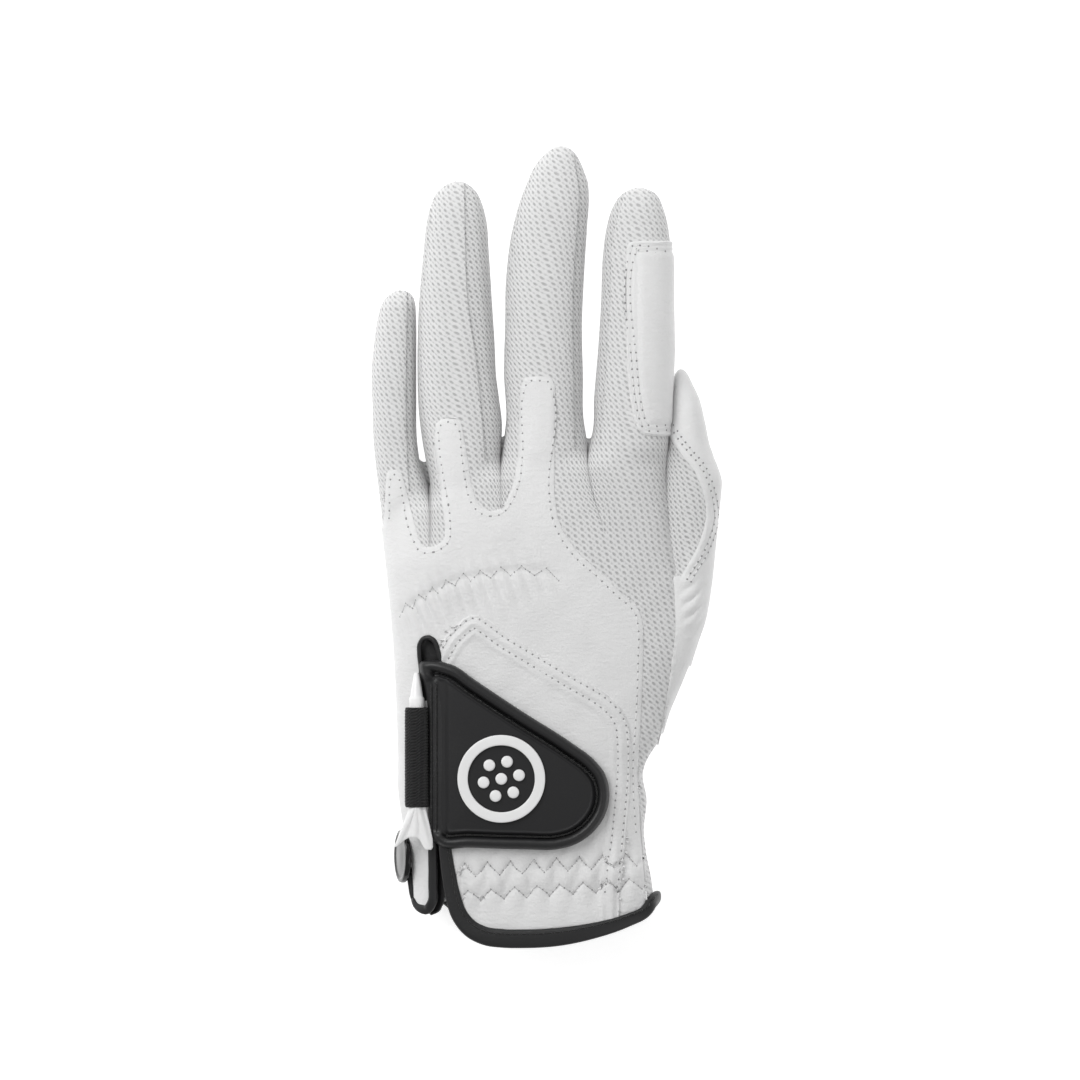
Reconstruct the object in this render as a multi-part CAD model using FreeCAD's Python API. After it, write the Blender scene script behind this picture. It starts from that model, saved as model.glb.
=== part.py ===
import FreeCAD, Part

import math
import os

from FreeCAD import Vector

# A left-hand golf glove, lying palm down: +Z out of the back of the hand, +Y to the fingertips,
# +X to the thumb. Millimetres. The origin is under the middle of the whole glove.

# ---- driving dimensions -------------------------------------------------------------------
WALL = 0.9                # knit and leather thickness as worn
SEAM_Z = 11.5             # height of the side seam between palm leather and back
BACK_ROUND = 3.0          # roundness exponent of the hand's section
DIGIT_ROUND = 2.4         # roundness exponent of a finger's section
FLAT_SHARE = 0.5          # share of a section's width that is flat underneath
CLEAR = 0.35              # gap between pieces that move against each other
FAR = 400.0               # size of cutting blocks
HINGE_RISE = 6.0          # finger hinge above the underside of the finger
HINGE_BACK = 0.5          # finger hinge behind the base of the finger
TAB_HINGE_X = -31.4       # fold line of the closure tab
TEE_X, TEE_Z = -38.7, 24.6
TEE_POINT_Y, TEE_HEAD_Y = -37.95, -90.7
LOOP_Y = (-78.2, -48.4)   # length of the tee loop
LOOP_R = 3.6
MARKER_R, MARKER_T = 8.0, 1.8
MARKER_AT = Vector(-42.1, -93.3, 10.6)
MARKER_OUT = Vector(-0.97, 0, 0.243)

# Height of each layer over the back of the hand: (bottom, top)
LAYERS = {
    "loop_patch": (0.1, 1.1),
    "hook_patch": (1.5, 2.1),
    "tab_backing": (2.1, 2.8),
    "tab_foam": (2.8, 3.8),
    "tab_cover": (3.8, 4.5),
    "tab_binding": (2.1, 4.9),
    "tab_emblem": (4.5, 5.2),
    "tab_anchor": (1.5, 4.9),
}

# Sections of the hand from cuff to thumb: (y, left, right, low, high)
LOWER_HAND = [
    (-121.0, -37.4, 34.0, 1.0, 21.5),
    (-100.0, -39.0, 31.8, 1.0, 22.2),
    (-92.0, -40.0, 30.8, 0.0, 22.5),
    (-76.0, -43.4, 30.4, 0.0, 23.5),
    (-66.0, -43.9, 29.6, 0.0, 24.0),
    (-58.0, -44.1, 33.6, 0.0, 24.6),
    (-49.0, -44.3, 37.0, 0.0, 25.2),
    (-38.6, -44.9, 41.6, 0.0, 26.0),
    (-28.5, -45.5, 45.2, 0.0, 26.8),
]
# Sections of the hand from thumb to knuckles
UPPER_HAND = [
    (-28.5, -45.5, 33.4, 0.0, 26.8),
    (-12.0, -46.9, 34.4, 0.0, 27.8),
    (4.0, -48.7, 35.8, 0.5, 28.0),
    (16.0, -49.6, 36.8, 1.0, 27.6),
    (30.0, -50.4, 37.2, 1.6, 26.6),
]

# Each digit: base y, neighbours' columns in x, and its sections (y, left, right, low, high)
DIGITS = {
    "pinky": [
        (15.4, -49.5, -38.9, 2.6, 20.0),
        (33.4, -51.8, -38.9, 2.4, 19.0),
        (51.4, -52.35, -38.9, 2.0, 18.0),
        (62.0, -51.4, -38.9, 1.6, 16.8),
        (69.4, -50.2, -39.1, 1.6, 15.6),
        (73.4, -48.8, -39.6, 2.4, 14.2),
        (75.8, -46.4, -40.4, 4.2, 12.0),
        (76.8, -44.4, -41.6, 6.2, 10.0),
    ],
    "ring": [
        (21.5, -38.2, -13.4, 4.0, 26.0),
        (37.0, -38.2, -13.0, 4.4, 25.4),
        (58.6, -38.3, -15.1, 4.6, 23.8),
        (80.0, -37.3, -16.5, 3.8, 21.6),
        (98.2, -35.5, -17.8, 2.8, 18.6),
        (105.4, -33.1, -20.2, 3.8, 16.0),
        (108.2, -30.4, -22.6, 6.2, 13.6),
        (109.4, -28.2, -24.8, 8.2, 11.6),
    ],
    "middle": [
        (28.6, -12.2, 12.2, 3.6, 26.2),
        (44.0, -12.5, 11.6, 3.8, 25.4),
        (66.0, -12.1, 11.2, 3.6, 23.6),
        (87.0, -11.1, 12.1, 2.8, 21.4),
        (105.4, -7.0, 13.0, 2.0, 18.6),
        (114.4, -3.0, 11.0, 2.6, 16.0),
        (118.6, 0.6, 8.4, 5.0, 12.8),
        (120.15, 3.0, 6.4, 7.0, 10.4),
    ],
    "index": [
        (29.6, 13.6, 36.4, 3.4, 25.4),
        (44.0, 14.5, 36.8, 3.4, 24.4),
        (58.6, 15.7, 37.0, 3.0, 23.0),
        (76.0, 16.7, 36.9, 2.4, 21.2),
        (94.6, 18.1, 36.4, 1.6, 18.0),
        (102.4, 20.4, 35.0, 2.2, 15.6),
        (106.2, 23.6, 32.4, 4.6, 13.0),
        (107.6, 26.4, 30.0, 6.6, 11.0),
    ],
    "thumb": [
        (-27.8, 34.4, 45.2, 0.9, 20.4),
        (-13.4, 35.4, 49.0, 0.7, 20.6),
        (-2.6, 36.6, 50.3, 0.7, 20.4),
        (15.4, 38.0, 52.1, 0.7, 19.6),
        (20.0, 38.2, 52.35, 0.7, 19.2),
        (30.0, 38.6, 48.7, 0.7, 18.0),
        (40.0, 38.6, 46.6, 0.9, 16.6),
        (48.0, 38.6, 43.6, 2.8, 13.6),
        (52.0, 38.7, 40.6, 6.2, 10.6),
    ],
}

# Outlines seen from above, as (x, y)
CUFF_EDGE = [
    (-60, 60), (-60, -85), (-42, -97), (-39.4, -105), (-37.2, -109.2), (-34.2, -109.6),
    (-32.2, -106), (-31.6, -96), (-30.6, -102.6), (-28.4, -109.4), (-25, -115), (-20.9, -118.7),
    (-15, -120.15), (2, -120.0), (13.4, -118.2), (25, -115), (31, -112.2), (33.6, -109),
    (60, -100), (60, 60),
]
LOOP_PATCH = [
    (-29.2, -30), (-23, -20.6), (-19.7, -20.6), (-12, -26), (19, -44.9), (23.8, -49.7),
    (25.2, -55), (25.2, -88), (-29.2, -88),
]
TAB_EDGE = [
    (-37.4, -35.2), (-29.8, -35.2), (-27.2, -36), (-21.2, -40.2), (8.2, -59.4), (14.6, -64.2),
    (17.9, -68.4), (19.1, -73.8), (18.2, -79.8), (14.6, -85.5), (9.2, -89.4), (4, -90.9),
    (-6.8, -90.9), (-23, -90.3), (-34.6, -89.7), (-34.6, -48), (-35.6, -44), (-36.4, -40),
]
TAB_RIM = 3.4             # width of the padded edge of the tab
EMBLEM_AT, EMBLEM_R, EMBLEM_BAND = (-13.2, -69.6), 13.0, 3.0
KNIT_SEAM = [
    (0.8, 60), (0.8, 18), (2.6, 5), (7.8, -3), (15.6, -9), (22.6, -15.8), (26.4, -20),
    (27.2, -26), (27.2, -130), (60, -130), (60, 60),
]
THUMB_WINDOW = [
    (30, 34), (36.8, 33.1), (41.9, 26.2), (46.9, 17), (48.1, 8.6), (44.9, -1.6), (41.2, -8),
    (30, -8),
]
INDEX_PATCH = [(24.2, 91.6), (60, 91.6), (60, 34.4), (30, 34.4), (26.6, 38), (24.2, 56)]
FINGER_TABS = {
    "pinky": [(-47.6, 22.6), (-43.3, 22.6), (-40.0, 0), (-46.0, 0)],
    "ring": [(-32.2, 36.4), (-26.4, 36.4), (-22.2, 0), (-30.2, 0)],
    "middle": [(-6.6, 50.2), (2.2, 50.2), (2.8, 0), (-7.4, 0)],
}
SLIT_X = (-35.2, -32.4)   # the opening at the back of the wrist
SLIT_TOP = -33.0
KEYHOLE_AT, KEYHOLE_R = (-35.2, -30.2), 2.4
CUFF_RIM = 3.6            # width of the binding round the cuff
ELASTICS = {
    "knuckle_elastic": (-42.0, 4.0, -20.5, -13.5, "back"),
    "cuff_elastic_upper": (-26.0, 26.0, -97.0, -93.0, "back"),
    "cuff_elastic_lower": (-26.0, 26.0, -106.0, -102.0, "back"),
    "palm_wrist_elastic": (-27.0, 22.0, -86.0, -78.0, "palm"),
}


# ---- construction -------------------------------------------------------------------------
def block(x0, x1, y0, y1, z0, z1):
    return Part.makeBox(x1 - x0, y1 - y0, z1 - z0, Vector(x0, y0, z0))


def above(z):
    return block(-FAR, FAR, -FAR, FAR, z, FAR)


def below(z):
    return block(-FAR, FAR, -FAR, FAR, -FAR, z)


def prism(outline, z0=-20.0, z1=60.0):
    points = [Vector(x, y, z0) for x, y in outline]
    face = Part.Face(Part.makePolygon(points + points[:1]))
    return face.extrude(Vector(0, 0, z1 - z0))


def power(value, exponent):
    return math.copysign(abs(value) ** exponent, value)


def section(y, left, right, low, high, roundness):
    """A closed outline across the glove: flat underneath, rounded over the back."""
    middle_x, half = (left + right) / 2, (right - left) / 2
    middle_z = low + 0.45 * (high - low)
    points = []
    for step in range(17):
        angle = math.radians(-60 + 300 * step / 16)
        reach = (high if math.sin(angle) > 0 else 2 * middle_z - low) - middle_z
        x = middle_x + half * power(math.cos(angle), 2 / roundness)
        z = middle_z + reach * power(math.sin(angle), 2 / roundness)
        points.append(Vector(x, y, z))
    for end, side in ((0, 1), (-1, -1)):
        points[end] = Vector(middle_x + side * half * FLAT_SHARE, y, low)
    over = Part.BSplineCurve()
    over.interpolate(points)
    return Part.Wire([over.toShape(), Part.makeLine(points[-1], points[0])])


def loft(stations, roundness, grow=0.0):
    """The solid through the sections, each grown all round by `grow`."""
    wires = []
    for y, left, right, low, high in stations:
        wires.append(section(y, left - grow, right + grow, low - grow, high + grow, roundness))
    return Part.makeLoft(wires, True, True)


def opened(stations, extra=2.0):
    """The same stations with the first one repeated further back, so a cut runs out."""
    y, left, right, low, high = stations[0]
    return [(y - extra, left, right, low, high)] + list(stations)


def hand_form(grow):
    """The hand without fingers, as one solid, grown by `grow`."""
    lower = loft(LOWER_HAND, BACK_ROUND, grow)
    upper = loft(UPPER_HAND, BACK_ROUND, grow)
    return lower.fuse(upper)


def hand_hollow(grow=-WALL):
    """The space inside the hand: open at the cuff, at the thumb and at the fingers."""
    y, left, right, low, high = LOWER_HAND[-1]
    lower = loft(opened(LOWER_HAND) + [(y + 1.2, left, right, low, high)], BACK_ROUND, grow)
    y, left, right, low, high = UPPER_HAND[-1]
    upper = loft(opened(UPPER_HAND) + [(y + 4, left, right, low, high)], BACK_ROUND, grow)
    return lower.fuse(upper)


def finger_columns():
    """Blocks that clear the hand away in front of each finger, and under each hinge."""
    order = ["pinky", "ring", "middle", "index"]
    edges = [-60.0]
    for left, right in zip(order, order[1:]):
        edges.append((DIGITS[left][0][2] + DIGITS[right][0][1]) / 2)
    edges.append(60.0)
    columns = []
    for name, x0, x1 in zip(order, edges, edges[1:]):
        base_y, low = DIGITS[name][0][0], DIGITS[name][0][3]
        columns.append(block(x0, x1, base_y - CLEAR, 60, -20, 60))
        reach = math.hypot(HINGE_RISE, HINGE_BACK)
        hinge_y, hinge_z = base_y - HINGE_BACK, low + HINGE_RISE
        columns.append(block(x0, x1, hinge_y - reach - CLEAR, 60, -20, hinge_z + 0.6))
    return columns


def slit(grow=0.0):
    x0, x1 = SLIT_X[0] - grow, SLIT_X[1] + grow
    cut = block(x0, x1, -130, SLIT_TOP + grow, SEAM_Z, 60)
    x, y = KEYHOLE_AT
    hole = Part.makeCylinder(KEYHOLE_R + grow, 60, Vector(x, y, SEAM_Z))
    return cut.fuse(hole)


def single(shape):
    """The largest solid of a cut, without crumbs."""
    return max(shape.Solids, key=lambda solid: solid.Volume)


def clean(shape, least=2.0):
    solids = [solid for solid in shape.Solids if solid.Volume > least]
    return solids[0] if len(solids) == 1 else Part.makeCompound(solids)


def layer_of_hand(bottom, top, outline):
    """A sheet that lies over the back of the hand between two heights, cut to an outline."""
    sheet = hand_form(top).cut(hand_form(bottom))
    return sheet.common(above(SEAM_Z)).common(prism(outline))


def inset(outline, distance):
    """The outline moved inwards."""
    points = [Vector(x, y, 0) for x, y in outline]
    face = Part.Face(Part.makePolygon(points + points[:1]))
    wire = face.makeOffset2D(-distance).OuterWire
    return [(vertex.Point.x, vertex.Point.y) for vertex in wire.OrderedVertexes]


# ---- the hand -----------------------------------------------------------------------------
def hand_nodes():
    shell = hand_form(0).cut(hand_hollow())
    for column in finger_columns():
        shell = shell.cut(column)
    rim_line = inset(CUFF_EDGE, CUFF_RIM)
    body = shell.common(prism(rim_line)).cut(slit())
    back = body.common(above(SEAM_Z))
    nodes = {
        "palm_panel": clean(body.common(below(SEAM_Z))),
        "back_leather": clean(back.cut(prism(KNIT_SEAM))),
        "back_knit": clean(back.common(prism(KNIT_SEAM))),
    }
    rim = hand_form(0.4).cut(hand_hollow(-WALL - 0.4))
    rim = rim.common(prism(CUFF_EDGE)).cut(prism(rim_line)).common(block(-60, 60, -130, -80, -9, 60))
    nodes["cuff_binding"] = clean(rim.cut(slit()).cut(block(-60, -41.5, -130, -80, -9, 60)))
    nodes["slit_binding"] = slit_binding()
    nodes["loop_patch"] = clean(layer_of_hand(*LAYERS["loop_patch"], LOOP_PATCH))
    for name, (x0, x1, y0, y1, side) in ELASTICS.items():
        tape = hand_hollow(-WALL - 0.1).cut(hand_hollow(-WALL - 0.9))
        half = above(SEAM_Z) if side == "back" else below(SEAM_Z)
        nodes[name] = clean(tape.common(block(x0, x1, y0, y1, -9, 60)).common(half))
    return nodes


def slit_binding():
    """The tape that edges the opening at the wrist, with the ring round its keyhole."""
    sheet = hand_form(0.9).cut(hand_hollow(-WALL - 0.6)).common(above(SEAM_Z + 2))
    tape = slit(0.0).cut(slit(-0.9)).common(block(-60, 60, -100, 0, -9, 60))
    return clean(sheet.common(tape))


def tee_loop():
    x, z = TEE_X, TEE_Z
    start, length = Vector(x, LOOP_Y[0], z), LOOP_Y[1] - LOOP_Y[0]
    outer = Part.makeCylinder(LOOP_R, length, start, Vector(0, 1, 0))
    ring = outer.cut(Part.makeCylinder(LOOP_R - 0.8, length, start, Vector(0, 1, 0)))
    return single(ring.cut(hand_form(0.05)))


def golf_tee():
    """A pointed shaft with a collar and a three-pronged head."""
    y0 = TEE_POINT_Y
    profile = [
        (0.0, y0), (0.8, y0 - 0.4), (1.95, y0 - 7.2), (1.95, y0 - 7.6), (2.3, y0 - 8.4),
        (2.3, y0 - 10.4), (1.95, y0 - 11.2), (1.95, y0 - 42.0), (0.0, y0 - 42.0),
    ]
    points = [Vector(radius, y, 0) for radius, y in profile]
    face = Part.Face(Part.makePolygon(points + points[:1]))
    shaft = face.revolve(Vector(0, 0, 0), Vector(0, 1, 0), 360)
    head_y = y0 - 40.6
    prongs = []
    for turn, reach in ((-25, 4.6), (90, 3.2), (205, 6.2)):
        x_out, z_out = math.cos(math.radians(turn)), math.sin(math.radians(turn)) * 0.35
        tip = Vector(x_out * reach, TEE_HEAD_Y, z_out * reach)
        direction = tip - Vector(0, head_y, 0)
        prongs.append(Part.makeCone(1.9, 0.7, direction.Length, Vector(0, head_y, 0), direction))
    tee = shaft.fuse(prongs[0]).fuse(prongs[1]).fuse(prongs[2])
    tee.translate(Vector(TEE_X, 0, TEE_Z))
    return single(tee)


def marker_nodes():
    out = Vector(MARKER_OUT).normalize()
    disc = Part.makeCylinder(MARKER_R, MARKER_T, MARKER_AT, out)
    disc = disc.makeFillet(0.6, [edge for edge in disc.Edges if edge.Length > 30])
    stud_start = MARKER_AT - out * 0.5
    stud = Part.makeCylinder(4.0, 3.0, stud_start - out * 2.6, out)
    stud = stud.cut(hand_form(0.45))
    return {"ball_marker": disc, "marker_stud": single(stud)}


# ---- the closure tab ----------------------------------------------------------------------
def tab_nodes():
    free_side = block(TAB_HINGE_X + CLEAR, 60, -130, 60, -9, 60)
    fixed_side = block(-60, TAB_HINGE_X, -130, 60, -9, 60)
    inner = inset(TAB_EDGE, TAB_RIM)
    nodes = {}
    for name in ("tab_backing", "tab_foam", "tab_cover"):
        nodes[name] = clean(layer_of_hand(*LAYERS[name], inner).common(free_side))
    hook_line = inset(TAB_EDGE, TAB_RIM + 3)
    nodes["hook_patch"] = clean(layer_of_hand(*LAYERS["hook_patch"], hook_line).common(free_side))
    rim = layer_of_hand(*LAYERS["tab_binding"], TAB_EDGE).cut(prism(inner))
    nodes["tab_binding"] = clean(rim.common(free_side))
    anchor = layer_of_hand(*LAYERS["tab_anchor"], TAB_EDGE).common(fixed_side)
    room = Part.makeCylinder(LOOP_R + CLEAR, FAR, Vector(TEE_X, -FAR / 2, TEE_Z), Vector(0, 1, 0))
    prong_room = block(-60, TEE_X + 5.3, -100, TEE_HEAD_Y + 13.2, -9, 60)
    nodes["tab_anchor"] = single(anchor.cut(room).cut(prong_room))
    x, y = EMBLEM_AT
    disc = Part.makeCylinder(EMBLEM_R, 60, Vector(x, y, 0))
    ring = disc.cut(Part.makeCylinder(EMBLEM_R - EMBLEM_BAND, 60, Vector(x, y, 0)))
    low, high = LAYERS["tab_emblem"]
    nodes["tab_emblem"] = clean(hand_form(high).cut(hand_form(low)).common(ring))
    return nodes


# ---- fingers and thumb --------------------------------------------------------------------
def digit_shell(name):
    stations = DIGITS[name]
    outer = loft(stations, DIGIT_ROUND)
    inner = loft(opened(stations[:-1]), DIGIT_ROUND, -WALL)
    return outer.cut(inner)


def seam_block(name, share, side):
    """All that lies above or below a plane that runs along a digit at a share of its height."""
    base, tip = DIGITS[name][0], DIGITS[name][-1]
    rise = [low + share * (high - low) for _, _, _, low, high in (base, tip)]
    slope = (rise[1] - rise[0]) / (tip[0] - base[0])
    z0, z1 = (rise[0] + slope * (y - base[0]) for y in (-FAR, FAR))
    end = FAR if side == "above" else -FAR
    points = [Vector(-FAR, -FAR, z0), Vector(-FAR, FAR, z1), Vector(-FAR, FAR, end)]
    points.append(Vector(-FAR, -FAR, end))
    return Part.Face(Part.makePolygon(points + points[:1])).extrude(Vector(2 * FAR, 0, 0))


def digit_raised(name, outline, height=0.8):
    """A second layer over the back of a digit, cut to an outline."""
    sheet = loft(DIGITS[name], DIGIT_ROUND, height).cut(loft(DIGITS[name], DIGIT_ROUND, 0.05))
    base_y = DIGITS[name][0][0]
    sheet = sheet.common(block(-60, 60, base_y, 130, -9, 60))
    return clean(sheet.common(seam_block(name, 0.5, "above")).common(prism(outline)), 0.5)


def finger_nodes(name, gussets):
    """Back, front and the side strips of one finger. A side with no strip is part of the back."""
    shell = digit_shell(name)
    tip = DIGITS[name][-1]
    middle_x = (tip[1] + tip[2]) / 2
    front = shell.common(seam_block(name, 0.34, "below"))
    over = shell.cut(seam_block(name, 0.34, "below"))
    crown = over.common(seam_block(name, 0.66, "above"))
    band = over.cut(seam_block(name, 0.66, "above"))
    halves = {
        "outer": band.common(block(-FAR, middle_x, -FAR, FAR, -FAR, FAR)),
        "inner": band.common(block(middle_x, FAR, -FAR, FAR, -FAR, FAR)),
    }
    nodes = {name + "_front": clean(front)}
    back = crown
    for side, part in halves.items():
        if side in gussets:
            label = name + "_gusset" + ("_" + side if len(gussets) > 1 else "")
            nodes[label] = clean(part)
        else:
            back = back.fuse(part)
    nodes[name + "_back"] = single(back)
    return nodes


def thumb_nodes():
    shell = digit_shell("thumb")
    split = 11.0
    top = shell.common(above(split))
    window = prism(THUMB_WINDOW)
    return {
        "thumb_front": clean(shell.common(below(split))),
        "thumb_back": clean(top.cut(window)),
        "thumb_knit": clean(top.common(window)),
    }


def all_nodes():
    nodes = hand_nodes()
    nodes["tee_loop"] = tee_loop()
    nodes["golf_tee"] = golf_tee()
    nodes.update(marker_nodes())
    nodes.update(tab_nodes())
    nodes.update(finger_nodes("pinky", ["inner"]))
    nodes.update(finger_nodes("ring", ["outer", "inner"]))
    nodes.update(finger_nodes("middle", ["outer", "inner"]))
    nodes.update(finger_nodes("index", ["outer"]))
    nodes.update(thumb_nodes())
    for name, outline in FINGER_TABS.items():
        nodes[name + "_tab"] = digit_raised(name, outline)
    nodes["index_patch"] = digit_raised("index", INDEX_PATCH)
    return nodes


os.makedirs("parts", exist_ok=True)
for node_name, node_shape in all_nodes().items():
    node_shape.exportStep("parts/" + node_name + ".step")
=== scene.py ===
"""A left-hand golf glove: knit and leather shells, stitched layers, a padded closure tab, a tee and a marker.

Every shape is worked out as whole arrays in millimetres and put into a mesh in metres. The glove lies palm
down: +Z is out of the back of the hand, +Y points to the fingertips and +X to the thumb.
"""

import math

import bmesh
import bpy
import numpy as np
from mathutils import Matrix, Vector


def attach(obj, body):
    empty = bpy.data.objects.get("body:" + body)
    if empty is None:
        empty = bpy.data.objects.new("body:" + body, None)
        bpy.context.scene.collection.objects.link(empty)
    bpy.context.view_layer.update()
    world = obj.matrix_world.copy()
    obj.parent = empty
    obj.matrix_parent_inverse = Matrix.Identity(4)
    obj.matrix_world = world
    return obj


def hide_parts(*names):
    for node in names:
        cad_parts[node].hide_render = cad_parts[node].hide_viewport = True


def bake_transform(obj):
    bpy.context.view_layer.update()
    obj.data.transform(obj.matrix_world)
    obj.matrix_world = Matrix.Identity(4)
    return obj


bl_info = {
    "name": "Golf glove",
    "version": (1, 0, 0),
    "blender": (4, 5, 0),
    "location": "3D View > Sidebar > Glove",
    "description": "Builds a left-hand golf glove around its packed frame",
    "category": "Object",
}

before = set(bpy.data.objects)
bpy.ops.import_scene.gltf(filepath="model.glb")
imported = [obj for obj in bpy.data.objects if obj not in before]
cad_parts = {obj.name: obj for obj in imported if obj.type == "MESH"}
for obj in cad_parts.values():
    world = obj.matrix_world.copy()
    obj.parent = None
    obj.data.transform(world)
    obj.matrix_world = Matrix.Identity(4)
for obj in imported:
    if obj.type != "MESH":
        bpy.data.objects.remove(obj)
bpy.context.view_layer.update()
MM = 0.001
CLOTH_UNIT = 10.0          # millimetres of cloth in one unit of a mesh's flat places

# ---- plan of the glove, in millimetres -------------------------------------------------------
# Each digit has rows of (y, left, right, low, high), a tip, the y of its base line at its left and right
# side, and the height of its side line there.
DIGITS = {
    "pinky": {
        "rows": [
            (8, -49.2, -35.3, 2.6, 20.4), (17.6, -50.2, -35.3, 2.6, 20.0), (20.5, -50.6, -36.2, 2.6, 19.8),
            (24, -51.0, -37.4, 2.6, 19.6), (30, -51.6, -38.4, 2.5, 19.2), (44, -52.1, -38.8, 2.2, 18.4),
            (51.4, -52.35, -38.8, 2.0, 18.0), (58.6, -51.8, -38.8, 1.7, 17.2), (65.8, -50.9, -38.8, 1.5, 16.2),
            (69.4, -50.2, -38.9, 1.5, 15.5), (73, -49.0, -39.2, 1.9, 14.4), (75.4, -47.0, -40.2, 3.4, 12.4),
        ],
        "tip": (-43.4, 76.8, 8.2), "base": (13.0, 17.6), "sides": (11.2, 12.4),
    },
    "ring": {
        "rows": [
            (10, -34.8, -13.4, 4.0, 26.3), (19.6, -34.8, -13.4, 4.0, 26.1), (25.3, -35.9, -13.4, 4.1, 26.0),
            (31, -36.9, -13.2, 4.2, 25.8), (37, -37.7, -13.1, 4.4, 25.4), (44.2, -38.25, -13.95, 4.5, 24.9),
            (51.4, -38.4, -14.85, 4.6, 24.3), (58.6, -38.4, -15.15, 4.6, 23.8), (73, -37.95, -16.05, 4.1, 22.4),
            (87.4, -36.75, -16.95, 3.4, 20.6), (98.2, -35.5, -17.85, 2.9, 18.6),
            (101.8, -34.6, -18.75, 3.1, 17.6),
            (105.4, -33.1, -20.2, 3.9, 16.0),
        ],
        "tip": (-26.4, 109.5, 9.9), "base": (17.6, 26.3), "sides": (12.4, 14.2),
    },
    "middle": {
        "rows": [
            (18, -13.4, 12.8, 3.6, 26.4), (26.3, -13.4, 12.8, 3.6, 26.3), (29.5, -12.9, 12.7, 3.6, 26.2),
            (33, -12.3, 12.2, 3.7, 26.0), (37, -11.85, 11.55, 3.7, 25.8), (51.4, -12.45, 11.25, 3.8, 24.9),
            (65.8, -12.15, 10.95, 3.6, 23.6), (80.2, -11.85, 11.55, 3.1, 22.2),
            (94.6, -10.05, 12.45, 2.4, 20.4),
            (105.4, -7.05, 13.05, 2.0, 18.6), (109.05, -5.55, 12.75, 2.1, 17.6),
            (112.6, -4.05, 11.55, 2.6, 16.5),
            (116.2, -1.65, 10.05, 3.6, 14.6),
        ],
        "tip": (4.8, 120.1, 8.8), "base": (26.3, 29.6), "sides": (14.2, 14.2),
    },
    "index": {
        "rows": [
            (18, 12.8, 36.3, 3.4, 25.6), (29.6, 12.8, 36.9, 3.4, 25.4), (33.4, 13.95, 37.05, 3.4, 25.2),
            (44.2, 14.55, 37.35, 3.4, 24.4), (58.6, 15.75, 37.95, 3.0, 23.0), (73, 16.65, 37.75, 2.5, 21.5),
            (87.4, 17.25, 37.65, 1.9, 19.2), (94.6, 18.15, 37.05, 1.7, 18.0), (101.8, 20.25, 35.25, 2.2, 15.9),
            (105.4, 22.65, 33.45, 4.0, 13.6),
        ],
        "tip": (28.2, 107.6, 8.8), "base": (29.6, 30.6), "sides": (14.2, 13.6),
    },
    "thumb": {
        "rows": [
            (-40, 27.6, 42.0, 0.6, 20.0), (-34, 29.6, 43.6, 0.6, 21.2), (-28.4, 30.2, 45.4, 0.6, 21.6),
            (-24.1, 30.8, 46.95, 0.6, 21.7), (-13.4, 32.2, 49.05, 0.6, 21.3), (-2.6, 33.6, 50.25, 0.6, 20.8),
            (8, 34.4, 51.3, 0.6, 20.1), (15.4, 35.0, 52.05, 0.7, 19.6), (19.05, 35.4, 52.3, 0.7, 19.3),
            (26.25, 35.6, 50.0, 0.7, 18.5), (29.85, 36.2, 48.75, 0.7, 18.0), (37, 37.6, 47.25, 0.8, 17.0),
            (44.2, 38.2, 45.45, 1.6, 15.4), (47.8, 38.7, 43.75, 2.8, 13.6),
        ],
        "tip": (40.7, 52.3, 8.2), "base": (-36.0, -36.0), "sides": (11.5, 11.5),
    },
}
FINGERS = ("pinky", "ring", "middle", "index")
HAND_LEFT = [
    (-124, -37.0), (-108, -38.9), (-100, -39.4), (-92, -40.4), (-84, -42.2), (-74.6, -43.7), (-62, -43.9),
    (-49.4, -44.3), (-31.4, -45.2), (-17, -46.4), (-2.6, -47.9), (4.7, -48.8), (12, -49.5), (24, -50.6),
]
HAND_RIGHT = [
    (-124, 34.6), (-107, 32.6), (-99.8, 31.7), (-92, 30.2), (-85.4, 29.6), (-76.4, 30.4), (-67.4, 29.4),
    (-63, 31.2), (-60, 33.2), (-49.4, 37.1), (-38.6, 41.6), (-31.3, 44.3), (-26, 44.6), (-16, 43.0),
    (-8, 41.2), (0, 39.1), (11, 37.3), (21, 36.3), (32, 36.9),
]
HAND_HIGH = [
    (-124, 21.4), (-100, 22.2), (-76, 23.5), (-58, 24.6), (-38, 26.0), (-12, 27.8), (4, 28.0), (16, 27.7),
    (32, 26.8),
]
HAND_SIDE = [(-124, 10.6), (-76, 11.0), (-28, 12.0), (30, 13.2)]
HAND_LOW = [(-124, 1.0), (-100, 0.9), (-90, 0.3), (-30, 0.3), (10, 0.9), (32, 2.4)]
CUFF_BOTTOM = -122.0
HAND_ROUND = 3.0           # power of the oval across the hand
DIGIT_ROUND = 2.35         # power of the oval across a digit
VALLEY = 7.5               # how far the valleys between the fingers run down the hand

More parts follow.
